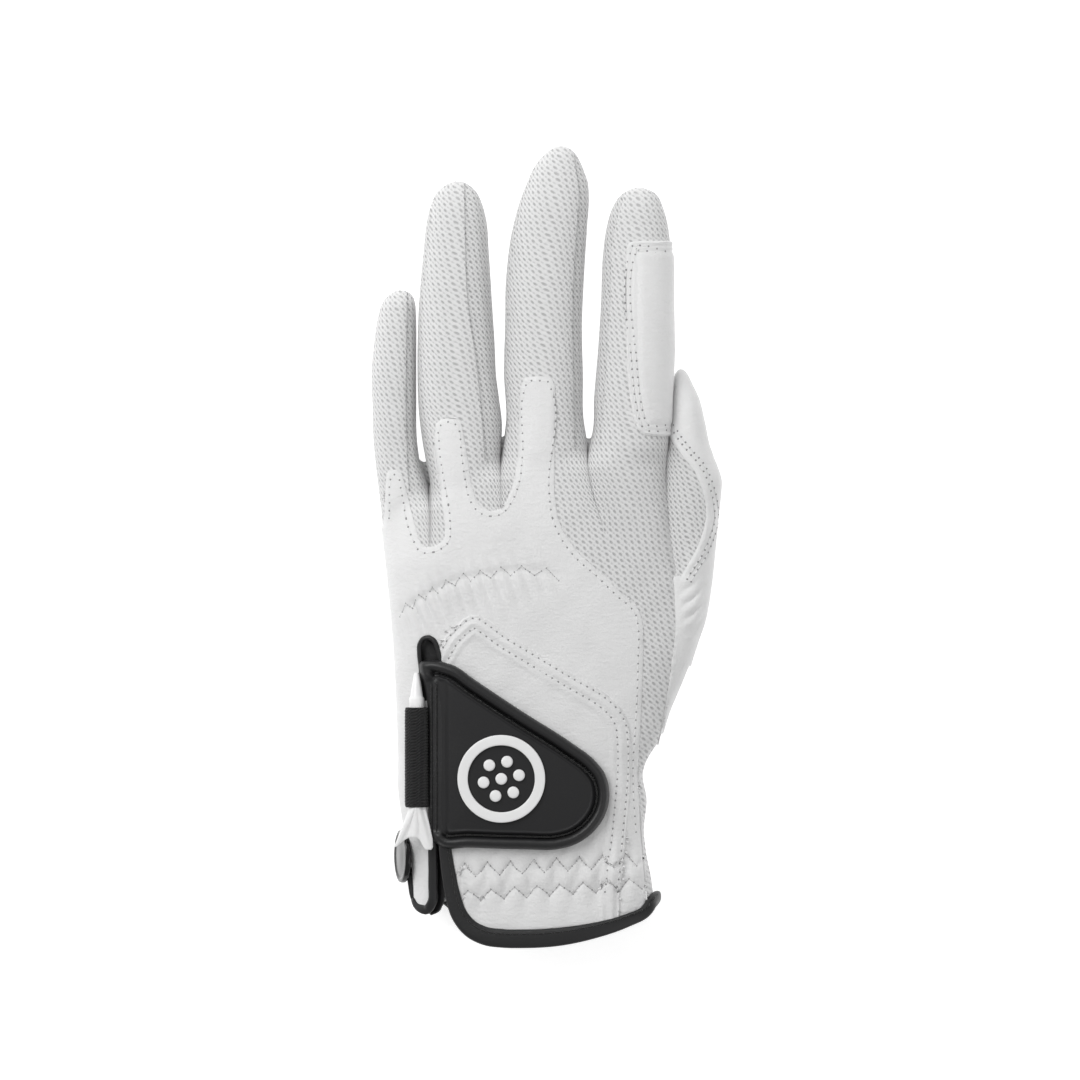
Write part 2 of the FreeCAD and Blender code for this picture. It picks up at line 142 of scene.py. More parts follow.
# Outlines over the plan, as (x, y) corners that a smooth line or straight runs join: the cuff, the flap beside
# the wrist opening, the leather panel, the leather beside the thumb, the patch on the index finger, the patch
# that the closure grips and the line its folded hem keeps to, the thumb's window, and the closure tab
CUFF_LINE = [
    (-30.5, -84), (-30.1, -90), (-29.0, -98), (-27.6, -105.3), (-25.6, -110.8), (-22.4, -114.6),
    (-17.9, -116.8),
    (-12.6, -117.5), (-6.8, -117.6), (2.0, -117.2), (13.4, -115.4), (24.4, -112.2), (30.0, -109.5),
    (32.6, -105.6),
]
FLAP_LINE = [
    (-40.6, -96), (-39.9, -101.5), (-39.2, -105.4), (-37.8, -108.3), (-35.6, -109.1), (-34.2, -107.4),
    (-33.7, -101),
    (-33.7, -92), (-33.8, -86),
]
LEATHER_EDGE = [
    (-70, -130), (-70, 6), (-48.4, 6), (-48.0, 12), (-47.6, 20.5), (-46.8, 22.7), (-44.6, 22.6), (-43.0, 21.4),
    (-41.6, 16), (-38.0, 2.2), (-36.4, -0.6), (-33.0, -0.3), (-30.2, 1.8), (-29.9, 6), (-31.2, 17), (-33.0, 30),
    (-32.8, 36.2), (-31.2, 37.8), (-26.6, 37.9), (-25.2, 36.4), (-23.6, 27.4), (-22.3, 18.7), (-20.9, 13.6),
    (-18.8, 11.0), (-16.3, 10.2), (-13.7, 10.8), (-11.9, 12.9), (-9.2, 19.6), (-8.2, 27), (-7.5, 47),
    (-6.3, 50.1),
    (-2, 50.7), (1.6, 50.1), (2.85, 47.6), (2.6, 16), (3.5, 8.6), (5.4, 3.8), (9.8, -2.3), (16.6, -8.3),
    (22.6, -14.2), (26.4, -17.4), (28.3, -20.2), (29.1, -24.5), (29.1, -34), (28.4, -52), (27.4, -68),
    (28.2, -84), (29.6, -101), (30.4, -130),
]
THENAR_EDGE = [
    (60, 2), (41.0, 2), (41.2, -8), (40.5, -17), (38.6, -29), (37.4, -38.5), (36.1, -46.7), (34.6, -55),
    (33.4, -62), (60, -62),
]
INDEX_PATCH = [
    (24.2, 88.6), (25.0, 90.7), (27.2, 91.2), (50, 91.6), (50, 33.2), (34.0, 32.7), (29.6, 33.0), (27.6, 34.6),
    (26.2, 38.6), (25.1, 44.8), (24.3, 53.8),
]
LOOP_PATCH = [
    (-32.4, -31.6), (-29.6, -26.6), (-24.4, -21.6), (-22.6, -20.6), (-19.9, -20.6), (-17.2, -22.2),
    (-12.1, -26.0),
    (-1.3, -32.6), (9.2, -38.9), (17.8, -44.0), (22.4, -48.2), (24.8, -52.6), (25.5, -58), (24.9, -76),
    (23.6, -90),
    (22.2, -104), (22.4, -130), (-32.4, -130),
]
HEM_LINE = [(-60, -80.9)] + LOOP_PATCH[1:-1] + [(-60, -130)]
THUMB_WINDOW = [
    (30, 38), (36.2, 34.4), (38.6, 30.2), (41.6, 26.2), (44.6, 22.4), (46.9, 17), (47.9, 12.4), (48.2, 8.5),
    (46.9, 3.2), (44.9, -1.7), (42.6, -5.6), (40.6, -9.2), (30, -9.6),
]
TAB_EDGE = [
    (-37.7, -37.0), (-37.4, -34.9), (-35.2, -34.2), (-32.4, -34.3), (-29.9, -34.95), (-27.2, -35.9),
    (-21.2, -40.0), (-6.8, -49.6),
    (8.2, -59.2), (14.5, -64.0), (17.8, -68.3), (19.05, -73.6), (18.2, -79.6), (14.6, -85.3), (9.2, -89.2),
    (4.0, -90.7), (-6.8, -90.8), (-22.9, -90.3), (-31.4, -90.0), (-33.1, -88.6), (-34.6, -84.6), (-35.1, -77.9),
    (-34.9, -62), (-35.2, -48.5), (-36.6, -40.4),
]
SLIT = (-34.9, -31.0, -34.0)     # left side, right side and top of the wrist opening

# Arch of the tape round the top of the wrist opening
KEYHOLE = [
    (-37.3, -46), (-37.2, -37), (-37.7, -32), (-37.6, -29.6), (-36.6, -28.0), (-35.0, -27.5), (-33.4, -28.3),
    (-32.4, -30.4), (-31.6, -33.4), (-31.1, -37), (-31.0, -46),
]

# How far the back of the hand lies under its oval at the finger bases, as (x, drop)
KNUCKLE_DROP = [
    (-50, 3.0), (-43, 4.0), (-36, 2.8), (-30, 1.5), (-24, 1.3), (0, 1.4), (14, 0.8), (25, 0.1), (36, 0.0),
]
EMBLEM = (-13.2, -69.6, 13.1, 3.1)                # x, y, radius and width of the ring
TEE_LINE = (-38.5, 24.6)                          # x and z of the tee's middle line
LOOP_ENDS = (-78.2, -48.4)                        # y of the elastic loop's two ends
MARKER = (-42.1, -93.3, 10.6, 8.0, 1.8)           # x, y, z, radius and thickness
MARKER_OUT = (-0.97, 0.0, 0.243)                  # the way the marker faces
TAB_FOLD = (-34.0, -28.8)                         # x where the tab's bend starts and ends

# Outline of the tee's three-pronged head
TEE_HEAD = [
    (-40.6, -76.5), (-40.8, -78.6), (-42.3, -82.6), (-43.9, -86.8), (-45.2, -90.1), (-44.6, -90.0),
    (-42.6, -88.3),
    (-40.9, -87.3), (-40.0, -87.1), (-38.6, -87.2), (-37.6, -88.0), (-36.6, -89.8), (-35.8, -90.8),
    (-34.2, -90.9),
    (-33.7, -90.2), (-33.7, -87.9), (-34.6, -83.6), (-35.8, -78.6), (-35.9, -76.5),
]

# Elastic tapes: node, left, right, near and far y, and whether the tape is under the back or on the palm
ELASTICS = (
    ("knuckle_elastic", -42.0, 4.0, -20.5, -13.5, True),
    ("cuff_elastic_upper", -26.0, 26.0, -97.0, -93.0, True),
    ("cuff_elastic_lower", -26.0, 26.0, -106.0, -102.0, True),
    ("palm_wrist_elastic", -27.0, 22.0, -86.0, -78.0, False),
)


# ---- curves -----------------------------------------------------------------------------------
def through(knots, at):
    """The smooth line through (position, value, ...) knots: a cubic in each span, with centred slopes."""
    table = np.array(sorted(knots, key=lambda knot: knot[0]), float)
    x, v = table[:, 0], table[:, 1]
    slope = np.gradient(v, x)
    at = np.clip(np.asarray(at, float), x[0], x[-1])
    i = np.clip(np.searchsorted(x, at, side="right") - 1, 0, len(x) - 2)
    h = x[i + 1] - x[i]
    s = (at - x[i]) / h
    return (
        (1 + 2 * s) * (1 - s) ** 2 * v[i] + s * (1 - s) ** 2 * h * slope[i]
        + s * s * (3 - 2 * s) * v[i + 1] + s * s * (s - 1) * h * slope[i + 1]
    )


def ease(value):
    """0 before 0, 1 after 1, and a smooth rise between."""
    value = np.clip(value, 0, 1)
    return value * value * (3 - 2 * value)


def power(value, exponent):
    """The power of a value's size, with the value's sign."""
    return np.sign(value) * np.abs(value) ** exponent


def smooth_line(corners, step=0.4, closed=False):
    """Evenly spaced points on the smooth line through corners, with the distance along it as its parameter."""
    points = np.array(corners, float)
    if closed:
        points = np.concatenate([points[-3:], points, points[:4]])
    run = np.concatenate([[0], np.cumsum(np.linalg.norm(np.diff(points, axis=0), axis=1))])
    first, last = (run[3], run[-4]) if closed else (0, run[-1])
    count = max(8, int((last - first) / step))
    at = np.linspace(first, last, count, endpoint=not closed)
    return np.stack([through(list(zip(run, column)), at) for column in points.T], axis=1)


def spaced(line, pitch):
    """Points every pitch along a line of points, as near as a whole number of steps allows."""
    run = np.concatenate([[0], np.cumsum(np.linalg.norm(np.diff(line, axis=0), axis=1))])
    at = np.linspace(0, run[-1], max(2, round(run[-1] / pitch) + 1))
    return np.stack([np.interp(at, run, column) for column in line.T], axis=1)


def moved_sideways(line, distance):
    """A plan line moved to its left by a distance."""
    along = np.gradient(line, axis=0)
    along /= np.maximum(np.linalg.norm(along, axis=1, keepdims=True), 1e-9)
    return line + np.stack([-along[:, 1], along[:, 0]], axis=1) * distance


def edge_distance(points, outline):
    """Distance of plan points from a closed outline, below zero inside, with the nearest point on it."""
    start = np.asarray(outline, float)
    span = np.roll(start, -1, axis=0) - start
    best = np.full(len(points), 1e9)
    nearest = np.zeros((len(points), 2))
    inside = np.zeros(len(points), bool)
    for (x0, y0), (dx, dy) in zip(start, span):
        rel_x, rel_y = points[:, 0] - x0, points[:, 1] - y0
        share = np.clip((rel_x * dx + rel_y * dy) / max(dx * dx + dy * dy, 1e-12), 0, 1)
        away = np.hypot(rel_x - share * dx, rel_y - share * dy)
        closer = away < best
        best = np.where(closer, away, best)
        nearest[closer] = np.stack([x0 + share * dx, y0 + share * dy], axis=1)[closer]
        if dy != 0:
            crosses = (rel_y < 0) != (rel_y < dy)
            inside ^= crosses & (rel_x < rel_y * dx / dy)
    return np.where(inside, -best, best), nearest


def plan_distance(grid, outline):
    """Distance of a grid's points from a closed outline over the plan, below zero inside."""
    return edge_distance(grid[..., :2].reshape(-1, 2), outline)[0].reshape(grid.shape[:2])


# ---- the skin of the glove --------------------------------------------------------------------
def digit_section(name, y):
    """Middle and half width across, and middle and half height, of a digit at y.

    The squares of the half sizes run smoothly to nothing at the tip, which rounds it."""
    rows, (tip_x, tip_y, tip_z) = DIGITS[name]["rows"], DIGITS[name]["tip"]
    middle = through([(r[0], (r[1] + r[2]) / 2) for r in rows] + [(tip_y, tip_x)], y)
    wide = through([(r[0], ((r[2] - r[1]) / 2) ** 2) for r in rows] + [(tip_y, 0)], y)
    level = through([(r[0], (r[3] + r[4]) / 2) for r in rows] + [(tip_y, tip_z)], y)
    tall = through([(r[0], ((r[4] - r[3]) / 2) ** 2) for r in rows] + [(tip_y, 0)], y)
    return middle, np.sqrt(np.maximum(wide, 0)), level, np.sqrt(np.maximum(tall, 0))


def digit_side(name, across, y):
    """Height of a digit's side line: the level of its crotches at its base, and its middle further out."""
    level = digit_section(name, y)[2]
    left, right = DIGITS[name]["sides"]
    near = 1 - ease((y - max(DIGITS[name]["base"])) / 18)
    side = level + near * (left + (right - left) * across - level)
    if name == "thumb":
        web = (1 - ease((y - 26) / 14)) * ease((0.55 - across) / 0.5)
        side = side + web * (level * 2 - side) * 0.62
    return side


def digit_surface(name, turn, y):
    """A digit's skin. turn runs from 0 at its right side through pi / 2 on its back to pi at its left side,
    and below zero round its front. Each section is an oval of power DIGIT_ROUND."""
    middle, wide, level, tall = digit_section(name, y)
    x = middle + wide * power(np.cos(turn), 2 / DIGIT_ROUND)
    across = np.clip((x - middle) / np.maximum(wide, 1e-6) * 0.5 + 0.5, 0, 1)
    side = digit_side(name, across, y)
    reach = np.where(np.sin(turn) > 0, level + tall - side, side - level + tall)
    return np.stack([x, y + 0 * x, side + reach * power(np.sin(turn), 2 / DIGIT_ROUND)], axis=-1)


def digit_height(name, x, y):
    """Height of a digit's back over the plan."""
    middle, wide, level, tall = digit_section(name, y)
    share = np.clip((x - middle) / np.maximum(wide, 1e-6), -1, 1)
    side = digit_side(name, share * 0.5 + 0.5, y)
    return side + (level + tall - side) * (1 - np.abs(share) ** DIGIT_ROUND) ** (1 / DIGIT_ROUND)


def hand_section(y):
    """Middle and half width of the hand at y."""
    left, right = through(HAND_LEFT, y), through(HAND_RIGHT, y)
    return (left + right) / 2, (right - left) / 2


def hand_height(x, y, top=True):
    """Height of the back (or palm) of the hand over the plan: an oval of power HAND_ROUND across."""
    middle, half = hand_section(y)
    share = np.clip(np.abs((x - middle) / half), 0, 1)
    side = through(HAND_SIDE, y)
    edge = through(HAND_HIGH if top else HAND_LOW, y)
    return side + (edge - side) * (1 - share ** HAND_ROUND) ** (1 / HAND_ROUND)


def base_line(x):
    """The y at which the fingers begin, and which finger that is, over the plan's x."""
    which = np.digitize(x, [-35.3, -13.4, 12.8])
    y = np.zeros_like(x)
    for number, name in enumerate(FINGERS):
        left, right = DIGITS[name]["rows"][1][1:3]
        start, stop = DIGITS[name]["base"]
        y = np.where(which == number, start + (stop - start) * ease((x - left) / (right - left)), y)
    return y, which


def knuckle_line(x):
    """The middle of the zigzag over the knuckles."""
    return through([(-43.5, -20), (-36, -15), (-27, -10.6), (-14, -8.0), (-5, -7.4), (4, -9)], x)


def zigzag(x, first, pitch, half):
    """A triangle wave that starts low at first."""
    return half * (1 - 2 * np.abs(np.mod((x - first) / pitch, 2) - 1))


def wrist_rows():
    """The two zigzag rows at the wrist: height at x = 0, slope, first low corner, and half height."""
    return ((-95.6, 0.06, -27.6, 2.1), (-103.2, 0.07, -26.2, 1.7))


def relief(x, y):
    """Gathers and folds of the cloth, as a height to add: puckers that run down from the zigzag at the
    knuckles, and the gathered rows at the wrist."""
    below = y - knuckle_line(x)
    span = ease((x + 47) / 8) * (1 - ease((x + 2) / 9))
    lean = x + 0.42 * below
    pitch = 3.7 + 0.03 * (x + 40)
    folds = np.cos(2 * np.pi * lean / pitch) * np.exp(-((below + 3.5) / 7.5) ** 2)
    knuckle = (0.6 - 0.006 * (x + 40)) * folds * span
    long_folds = 0.22 * np.cos(2 * np.pi * (x + 0.35 * y) / 5.2 + 1.1) * np.exp(-((y + 24) / 8) ** 2)
    knuckle = knuckle + long_folds * (1 - ease((x + 36) / 12))
    patch_top = -20.6 + np.where(x < -22.6, 1.12, -0.6) * (x + 22.6)
    knuckle = knuckle * ease((y - patch_top) / 4)
    stitched = -0.45 * np.exp(-(below / 1.5) ** 2) * span
    row_one, row_two = -95.6 + 0.06 * x, -103.2 + 0.07 * x
    wrist = ease((x + 31) / 5) * (1 - ease((x - 30) / 3))
    inside = np.exp(-((y - (row_one + row_two) / 2) / 8.0) ** 2)
    gathers = 0.5 * np.cos(2 * np.pi * (x - 0.16 * (y + 99)) / 6.85 + 0.6) * inside
    gathers = gathers + 0.15 * np.cos(2 * np.pi * (x + 0.3 * y) / 4.1) * inside
    rows = 0 * x
    for level, slope, first, half in wrist_rows():
        away = y - level - slope * x - zigzag(x, first, 3.42, half)
        rows = rows - 0.5 * np.exp(-(away / 0.85) ** 2)
    between = 0.3 * np.exp(-((y - (row_one + row_two) / 2) / 2.6) ** 2)
    thumb_folds = 0.4 * np.cos(2 * np.pi * (y - 0.9 * x) / 4.4 + 0.7 * np.sin(x * 0.9))
    thumb_folds = thumb_folds * np.exp(-((y + 19 + 0.5 * (x - 44)) / 8) ** 2) * ease((x - 39.6) / 3)
    soft = 0.12 * np.sin(x * 0.42 + 0.8 * np.sin(y * 0.21)) * np.sin(y * 0.33 + 0.5 * np.sin(x * 0.3))
    on_hand = 1 - ease((y - 8) / 8)
    return (knuckle + stitched + (gathers + rows + between) * wrist + thumb_folds + soft) * on_hand


def back_height(x, y):
    """Height of the glove's back over the plan: the hand's oval, which spreads out of the fingers' own
    sections near their bases so that valleys run down between them, and each finger beyond."""
    x, y = np.broadcast_arrays(np.asarray(x, float), np.asarray(y, float))
    start, which = base_line(x)
    height = hand_height(x, y) - through(KNUCKLE_DROP, x) * ease(1 - (start - y) / 24)
    near = ease(1 - (start - y) / VALLEY) ** 1.2
    for number, name in enumerate(FINGERS):
        ridge = digit_height(name, x, np.maximum(start, y))
        mine = which == number
        height = np.where(mine, np.where(y >= start, ridge, height + (ridge - height) * near), height)
    return height + relief(x, y)


def thumb_height(x, y):
    """Height of the thumb's back over the plan, with its folds."""
    return digit_height("thumb", x, y) + relief(x, y)


def height_normal(height, x, y, step=0.25):
    """Unit normal of a height over the plan."""
    slope_x = (height(x + step, y) - height(x - step, y)) / (2 * step)
    slope_y = (height(x, y + step) - height(x, y - step)) / (2 * step)
    slope_x, slope_y = np.clip(slope_x, -2.5, 2.5), np.clip(slope_y, -2.5, 2.5)
    normal = np.stack([-slope_x, -slope_y, np.ones_like(slope_x)], axis=-1)
    return normal / np.linalg.norm(normal, axis=-1, keepdims=True)


def digit_flat(name, turn, y):
    """The cloth's own place across a digit: its middle line plus the arc from it."""
    middle, wide, _, tall = digit_section(name, y)
    return middle + (np.pi / 2 - np.abs(turn)) * (wide + tall) / 2 * 1.1


def hand_grid(cells, rows, top=True):
    """The back or the palm of the hand from the cuff to the finger bases, as (rows, columns, 3) points and
    the cloth's own flat places. At the last row each finger's strip has that finger's own section, and
    further down the columns spread evenly over the hand's oval."""
    ends, flats = [], []
    for name in FINGERS:
        width = DIGITS[name]["rows"][1][2] - DIGITS[name]["rows"][1][1]
        step = np.linspace(0, 1, max(8, round(cells * width / 86)) + 1)[0 if name == "pinky" else 1:]
        start, stop = DIGITS[name]["base"]
        turn = np.pi * (1 - step) * (1 if top else -1)
        middle, wide = digit_section(name, start + (stop - start) * step)[:2]
        x = middle + wide * power(np.cos(turn), 2 / DIGIT_ROUND)
        y = start + (stop - start) * ease((x - middle) / np.maximum(wide, 1e-6) * 0.5 + 0.5)
        ends.append(digit_surface(name, turn, y))
        flats.append(digit_flat(name, turn, y))
    end, flat_end = np.concatenate(ends), np.concatenate(flats)
    middle, half = hand_section(end[:, 1])
    share_end = np.clip((end[:, 0] - middle) / half, -1, 1)
    share_end[0], share_end[-1] = -1, 1
    even = power(-np.cos(np.linspace(0, np.pi, len(end))), 0.8)
    y = CUFF_BOTTOM + (end[None, :, 1] - CUFF_BOTTOM) * np.linspace(0, 1, rows + 1)[:, None]
    back = end[None, :, 1] - y
    share = even[None, :] + (share_end - even)[None, :] * ease(1 - back / 70)
    middle, half = hand_section(y)
    x = middle + half * share
    z = hand_height(x, y, top)
    if top:
        z = z - through(KNUCKLE_DROP, x) * ease(1 - back / 24)
    z = z + (end[None, :, 2] - z) * ease(1 - back / VALLEY) ** 1.2
    if top:
        z = z + relief(x, y)
    flat_x = x + (flat_end[None, :] - x) * ease(1 - back / 30)
    return np.stack([x, y, z], axis=-1), np.stack([flat_x, y], axis=-1)


def digit_shares(name, count):
    """Places along a digit from 0 at its base to 1 at its tip, closer together round the tip."""
    length = DIGITS[name]["tip"][1] - max(DIGITS[name]["base"])
    dome = min(12.0, length / 3)
    turn_over = (length - dome) / (length + dome)
    s = np.linspace(0, 1, count + 1)
    straight = s / turn_over * (length - dome)
    rounded = length - dome * ((1 - s) / (1 - turn_over)) ** 2
    return np.where(s < turn_over, straight, rounded) / length


def digit_grid(name, turn_from, turn_to, cells, count):
    """The part of a digit's skin between two turns, from its base line to its tip, with its flat places.

    A turn is a number, or a function of y for a seam that wanders."""
    far, tip_y = max(DIGITS[name]["base"]), DIGITS[name]["tip"][1]
    y_straight = far + (tip_y - far) * digit_shares(name, count)[:, None]
    ends = [limit(y_straight) if callable(limit) else limit + 0 * y_straight for limit in (turn_from, turn_to)]
    turn = ends[0] + (ends[1] - ends[0]) * np.linspace(0, 1, cells + 1)[None, :]
    start, stop = DIGITS[name]["base"]
    share = 0.5 + 0.5 * power(np.cos(turn), 2 / DIGIT_ROUND)
    y = y_straight - (far - (start + (stop - start) * ease(share))) * (1 - np.clip((y_straight - far) / 6.0,
        0, 1))
    grid = digit_surface(name, turn, y)
    if name == "thumb":
        grid[..., 2] += relief(grid[..., 0], grid[..., 1]) * (np.sin(turn) > 0) * ease(np.sin(turn) * 3)
    return grid, np.stack([digit_flat(name, turn, y), y], axis=-1)


def grid_normals(grid):
    """Unit normals of a grid: across its columns, crossed with along its rows."""
    normal = np.cross(np.gradient(grid, axis=1), np.gradient(grid, axis=0))
    size = np.linalg.norm(normal, axis=-1, keepdims=True)
    return np.where(size > 1e-7, normal / np.maximum(size, 1e-9), 0.0)


def clipped(grid, flat, outline, lift, edge=0.45, height=None):
    """A sheet cut from a grid to a plan outline: points near the outline move onto it, and the sheet is
    raised by lift with a rounded edge. Returns the points, flat places and which points are used."""
    plan = grid[..., :2].reshape(-1, 2).copy()
    distance, nearest = edge_distance(plan, outline)
    rows, cols = grid.shape[:2]
    step = np.linalg.norm(np.diff(grid[..., :2], axis=0), axis=-1).max()
    reach = min(0.75 * step, 0.6)
    snap = np.abs(distance) < reach
    new = grid.reshape(-1, 3).copy()
    normal = grid_normals(grid).reshape(-1, 3)
    shift = np.where(snap[:, None], nearest - plan, 0)
    new[:, :2] += shift
    slope = np.clip(normal[:, :2] / np.maximum(normal[:, 2:3], 0.35), -3, 3)
    new[:, 2] -= (slope * shift).sum(axis=1)
    if height is not None:
        new[:, 2] = np.where(snap, height(new[:, 0], new[:, 1]), new[:, 2])
    inside = np.where(snap, 0, -distance)
    rise = lift * np.sqrt(1 - (1 - np.clip(inside / edge, 0, 1)) ** 2) * 0.6 + lift * 0.4
    new += normal * rise[:, None]
    ok = snap | (distance < 0)
    new_flat = flat.reshape(-1, 2) + shift
    return new.reshape(grid.shape), new_flat.reshape(flat.shape), ok.reshape(rows, cols), inside.reshape(rows,
        cols)


def ring_faces(count, sides):
    """Quads over rings of points in order, and a fan at each end to the two points that follow them."""
    number = np.arange(count * sides).reshape(count, sides)
    turned = np.roll(number, -1, axis=1)
    quads = np.stack([number[:-1], turned[:-1], turned[1:], number[1:]], axis=-1).reshape(-1, 4)
    low, high = count * sides, count * sides + 1
    fans = np.concatenate([
        np.stack([turned[0], number[0], np.full(sides, low)], axis=1),
        np.stack([number[-1], turned[-1], np.full(sides, high)], axis=1),
    ])
    return quads, fans


# ---- meshes -----------------------------------------------------------------------------------
def sheet_faces(grid, thickness, ok=None, flip=False):
    """Points and faces of a closed sheet: the grid, a second layer under it, and a rim round every edge.

    ok marks the usable points. A cell with three of them becomes a triangle."""
    rows, cols = grid.shape[:2]
    total = rows * cols
    outer = grid.reshape(-1, 3)
    inner = outer - grid_normals(grid).reshape(-1, 3) * (-thickness if flip else thickness)
    number = np.arange(total).reshape(rows, cols)
    cells = np.stack([number[:-1, :-1], number[:-1, 1:], number[1:, 1:], number[1:, :-1]],
        axis=-1).reshape(-1, 4)
    if flip:
        cells = cells[:, ::-1]
    corner_ok = (np.ones(total, bool) if ok is None else ok.reshape(-1))[cells]
    usable = corner_ok.sum(axis=1)
    quads = cells[usable == 4]
    triangles = cells[usable == 3][corner_ok[usable == 3]].reshape(-1, 3)
    edges = [quads[:, [i, (i + 1) % 4]] for i in range(4)] + [triangles[:, [i, (i + 1) % 3]] for i in range(3)]
    edges = np.concatenate(edges)
    rim = edges[~np.isin(edges[:, 0] * total + edges[:, 1], edges[:, 1] * total + edges[:, 0])]
    rim = np.stack([rim[:, 1], rim[:, 0], rim[:, 0] + total, rim[:, 1] + total], axis=1)
    return (
        np.concatenate([outer, inner]),
        np.concatenate([quads, quads[:, ::-1] + total, rim]),
        np.concatenate([triangles, triangles[:, ::-1] + total]),
    )


def make_piece(name, points, quads, triangles=None, flat=None, material=None, sharp=0.75):
    """A mesh object in metres from points and faces in millimetres. Points that fall together are merged."""
    triangles = np.zeros((0, 3), int) if triangles is None else triangles
    used, back = np.unique(np.concatenate([quads.reshape(-1), triangles.reshape(-1)]), return_inverse=True)
    mesh = bpy.data.meshes.new(name)
    faces = back[: quads.size].reshape(-1, 4).tolist() + back[quads.size:].reshape(-1, 3).tolist()
    mesh.from_pydata((points[used] * MM).tolist(), [], faces)
    if flat is not None:
        layer = mesh.uv_layers.new(name="Cloth")
        corner = np.empty(len(mesh.loops), np.int32)
        mesh.loops.foreach_get("vertex_index", corner)
        layer.data.foreach_set("uv", (flat[used][corner] / CLOTH_UNIT).astype(np.float32).ravel())
    work = bmesh.new()
    work.from_mesh(mesh)
    bmesh.ops.remove_doubles(work, verts=work.verts, dist=2e-6)
    bmesh.ops.dissolve_degenerate(work, edges=work.edges, dist=1e-7)
    work.to_mesh(mesh)
    work.free()
    mesh.polygons.foreach_set("use_smooth", np.ones(len(mesh.polygons), bool))
    mesh.set_sharp_from_angle(angle=sharp)
    mesh.update()
    piece = bpy.data.objects.new(name, mesh)
    bpy.context.scene.collection.objects.link(piece)
    if material is not None:
        mesh.materials.append(material)
    return piece


def make_sheet(name, grid, flat, material, thickness=0.9, ok=None, flip=False):
    """A closed sheet piece from a grid and its flat places."""
    points, quads, triangles = sheet_faces(grid, thickness, ok, flip)
    return make_piece(name, points, quads, triangles, np.concatenate([flat.reshape(-1, 2)] * 2), material)


def tube(line, inward, section, closed=False, taper=None):
    """Points and faces of a section carried along a line. The section's first number runs towards inward,
    its second across both. Open ends are closed with a fan."""
    line = np.asarray(line, float)
    if closed:
        along = np.roll(line, -1, axis=0) - np.roll(line, 1, axis=0)
    else:
        along = np.gradient(line, axis=0)
    along /= np.maximum(np.linalg.norm(along, axis=1, keepdims=True), 1e-9)
    inward = np.broadcast_to(np.asarray(inward, float), line.shape)
    inward = inward - (inward * along).sum(axis=1, keepdims=True) * along
    inward /= np.maximum(np.linalg.norm(inward, axis=1, keepdims=True), 1e-9)
    across = np.cross(along, inward)
    section = np.asarray(section, float)
    size = np.ones(len(line)) if taper is None else np.asarray(taper, float)
    size = size if size.ndim == 2 else np.stack([size, size], axis=1)
    rings = (
        line[:, None, :] + inward[:, None, :] * (section[None, :, :1] * size[:, None, :1])
        + across[:, None, :] * (section[None, :, 1:] * size[:, None, 1:])
    )
    count, sides = len(line), len(section)
    points = rings.reshape(-1, 3)
    if closed:
        number = np.arange(count * sides).reshape(count, sides)
        turned = np.roll(number, -1, axis=1)
        quads = np.stack([number, turned, np.roll(turned, -1, axis=0), np.roll(number, -1, axis=0)], axis=-1)
        triangles = np.zeros((0, 3), int)
    else:
        quads, triangles = ring_faces(count, sides)
        points = np.concatenate([points, rings[0].mean(axis=0)[None], rings[-1].mean(axis=0)[None]])
    run = np.concatenate([[0], np.cumsum(np.linalg.norm(np.diff(line, axis=0), axis=1))])
    girth = np.concatenate([[0], np.cumsum(np.linalg.norm(np.diff(section, axis=0), axis=1))])
    flat = np.stack(np.broadcast_arrays(girth[None, :], run[:, None]), axis=-1).reshape(-1, 2)
    if not closed:
        flat = np.concatenate([flat, [[0, run[0]], [0, run[-1]]]])
    return points, quads.reshape(-1, 4), triangles, flat


def oval(half_in, half_across, power_of=2.0, sides=16):
    """A section: an oval of the given power, anticlockwise."""
    turn = np.linspace(0, 2 * np.pi, sides, endpoint=False)
    return np.stack([half_in * power(np.cos(turn), 2 / power_of),
        half_across * power(np.sin(turn), 2 / power_of)], axis=1)


def lathe(profile, centre, axis_from, sides=48):
    """A profile of (radius, along) turned about a line through centre along axis_from, closed at both ends."""
    axis = np.asarray(axis_from, float) / np.linalg.norm(axis_from)
    side = np.cross(axis, [0.0, 0.0, 1.0] if abs(axis[2]) < 0.9 else [1.0, 0.0, 0.0])
    side /= np.linalg.norm(side)
    other = np.cross(axis, side)
    profile = np.asarray(profile, float)
    turn = np.linspace(0, 2 * np.pi, sides, endpoint=False)
    ring = np.cos(turn)[:, None] * side + np.sin(turn)[:, None] * other
    rings = np.asarray(centre, float) + profile[:, 1][:, None, None] * axis + profile[:, 0][:, None,
        None] * ring
    quads, caps = ring_faces(len(profile), sides)
    ends = np.asarray(centre, float) + profile[[0, -1], 1][:, None] * axis
    return np.concatenate([rings.reshape(-1, 3), ends]), quads, caps


def joined(parts):
    """Several (points, quads, triangles) put together."""
    points, quads, triangles, start = [], [], [], 0
    for part in parts:
        points.append(part[0])
        quads.append(part[1] + start)
        triangles.append(part[2] + start)
        start += len(part[0])
    return np.concatenate(points), np.concatenate(quads), np.concatenate(triangles)


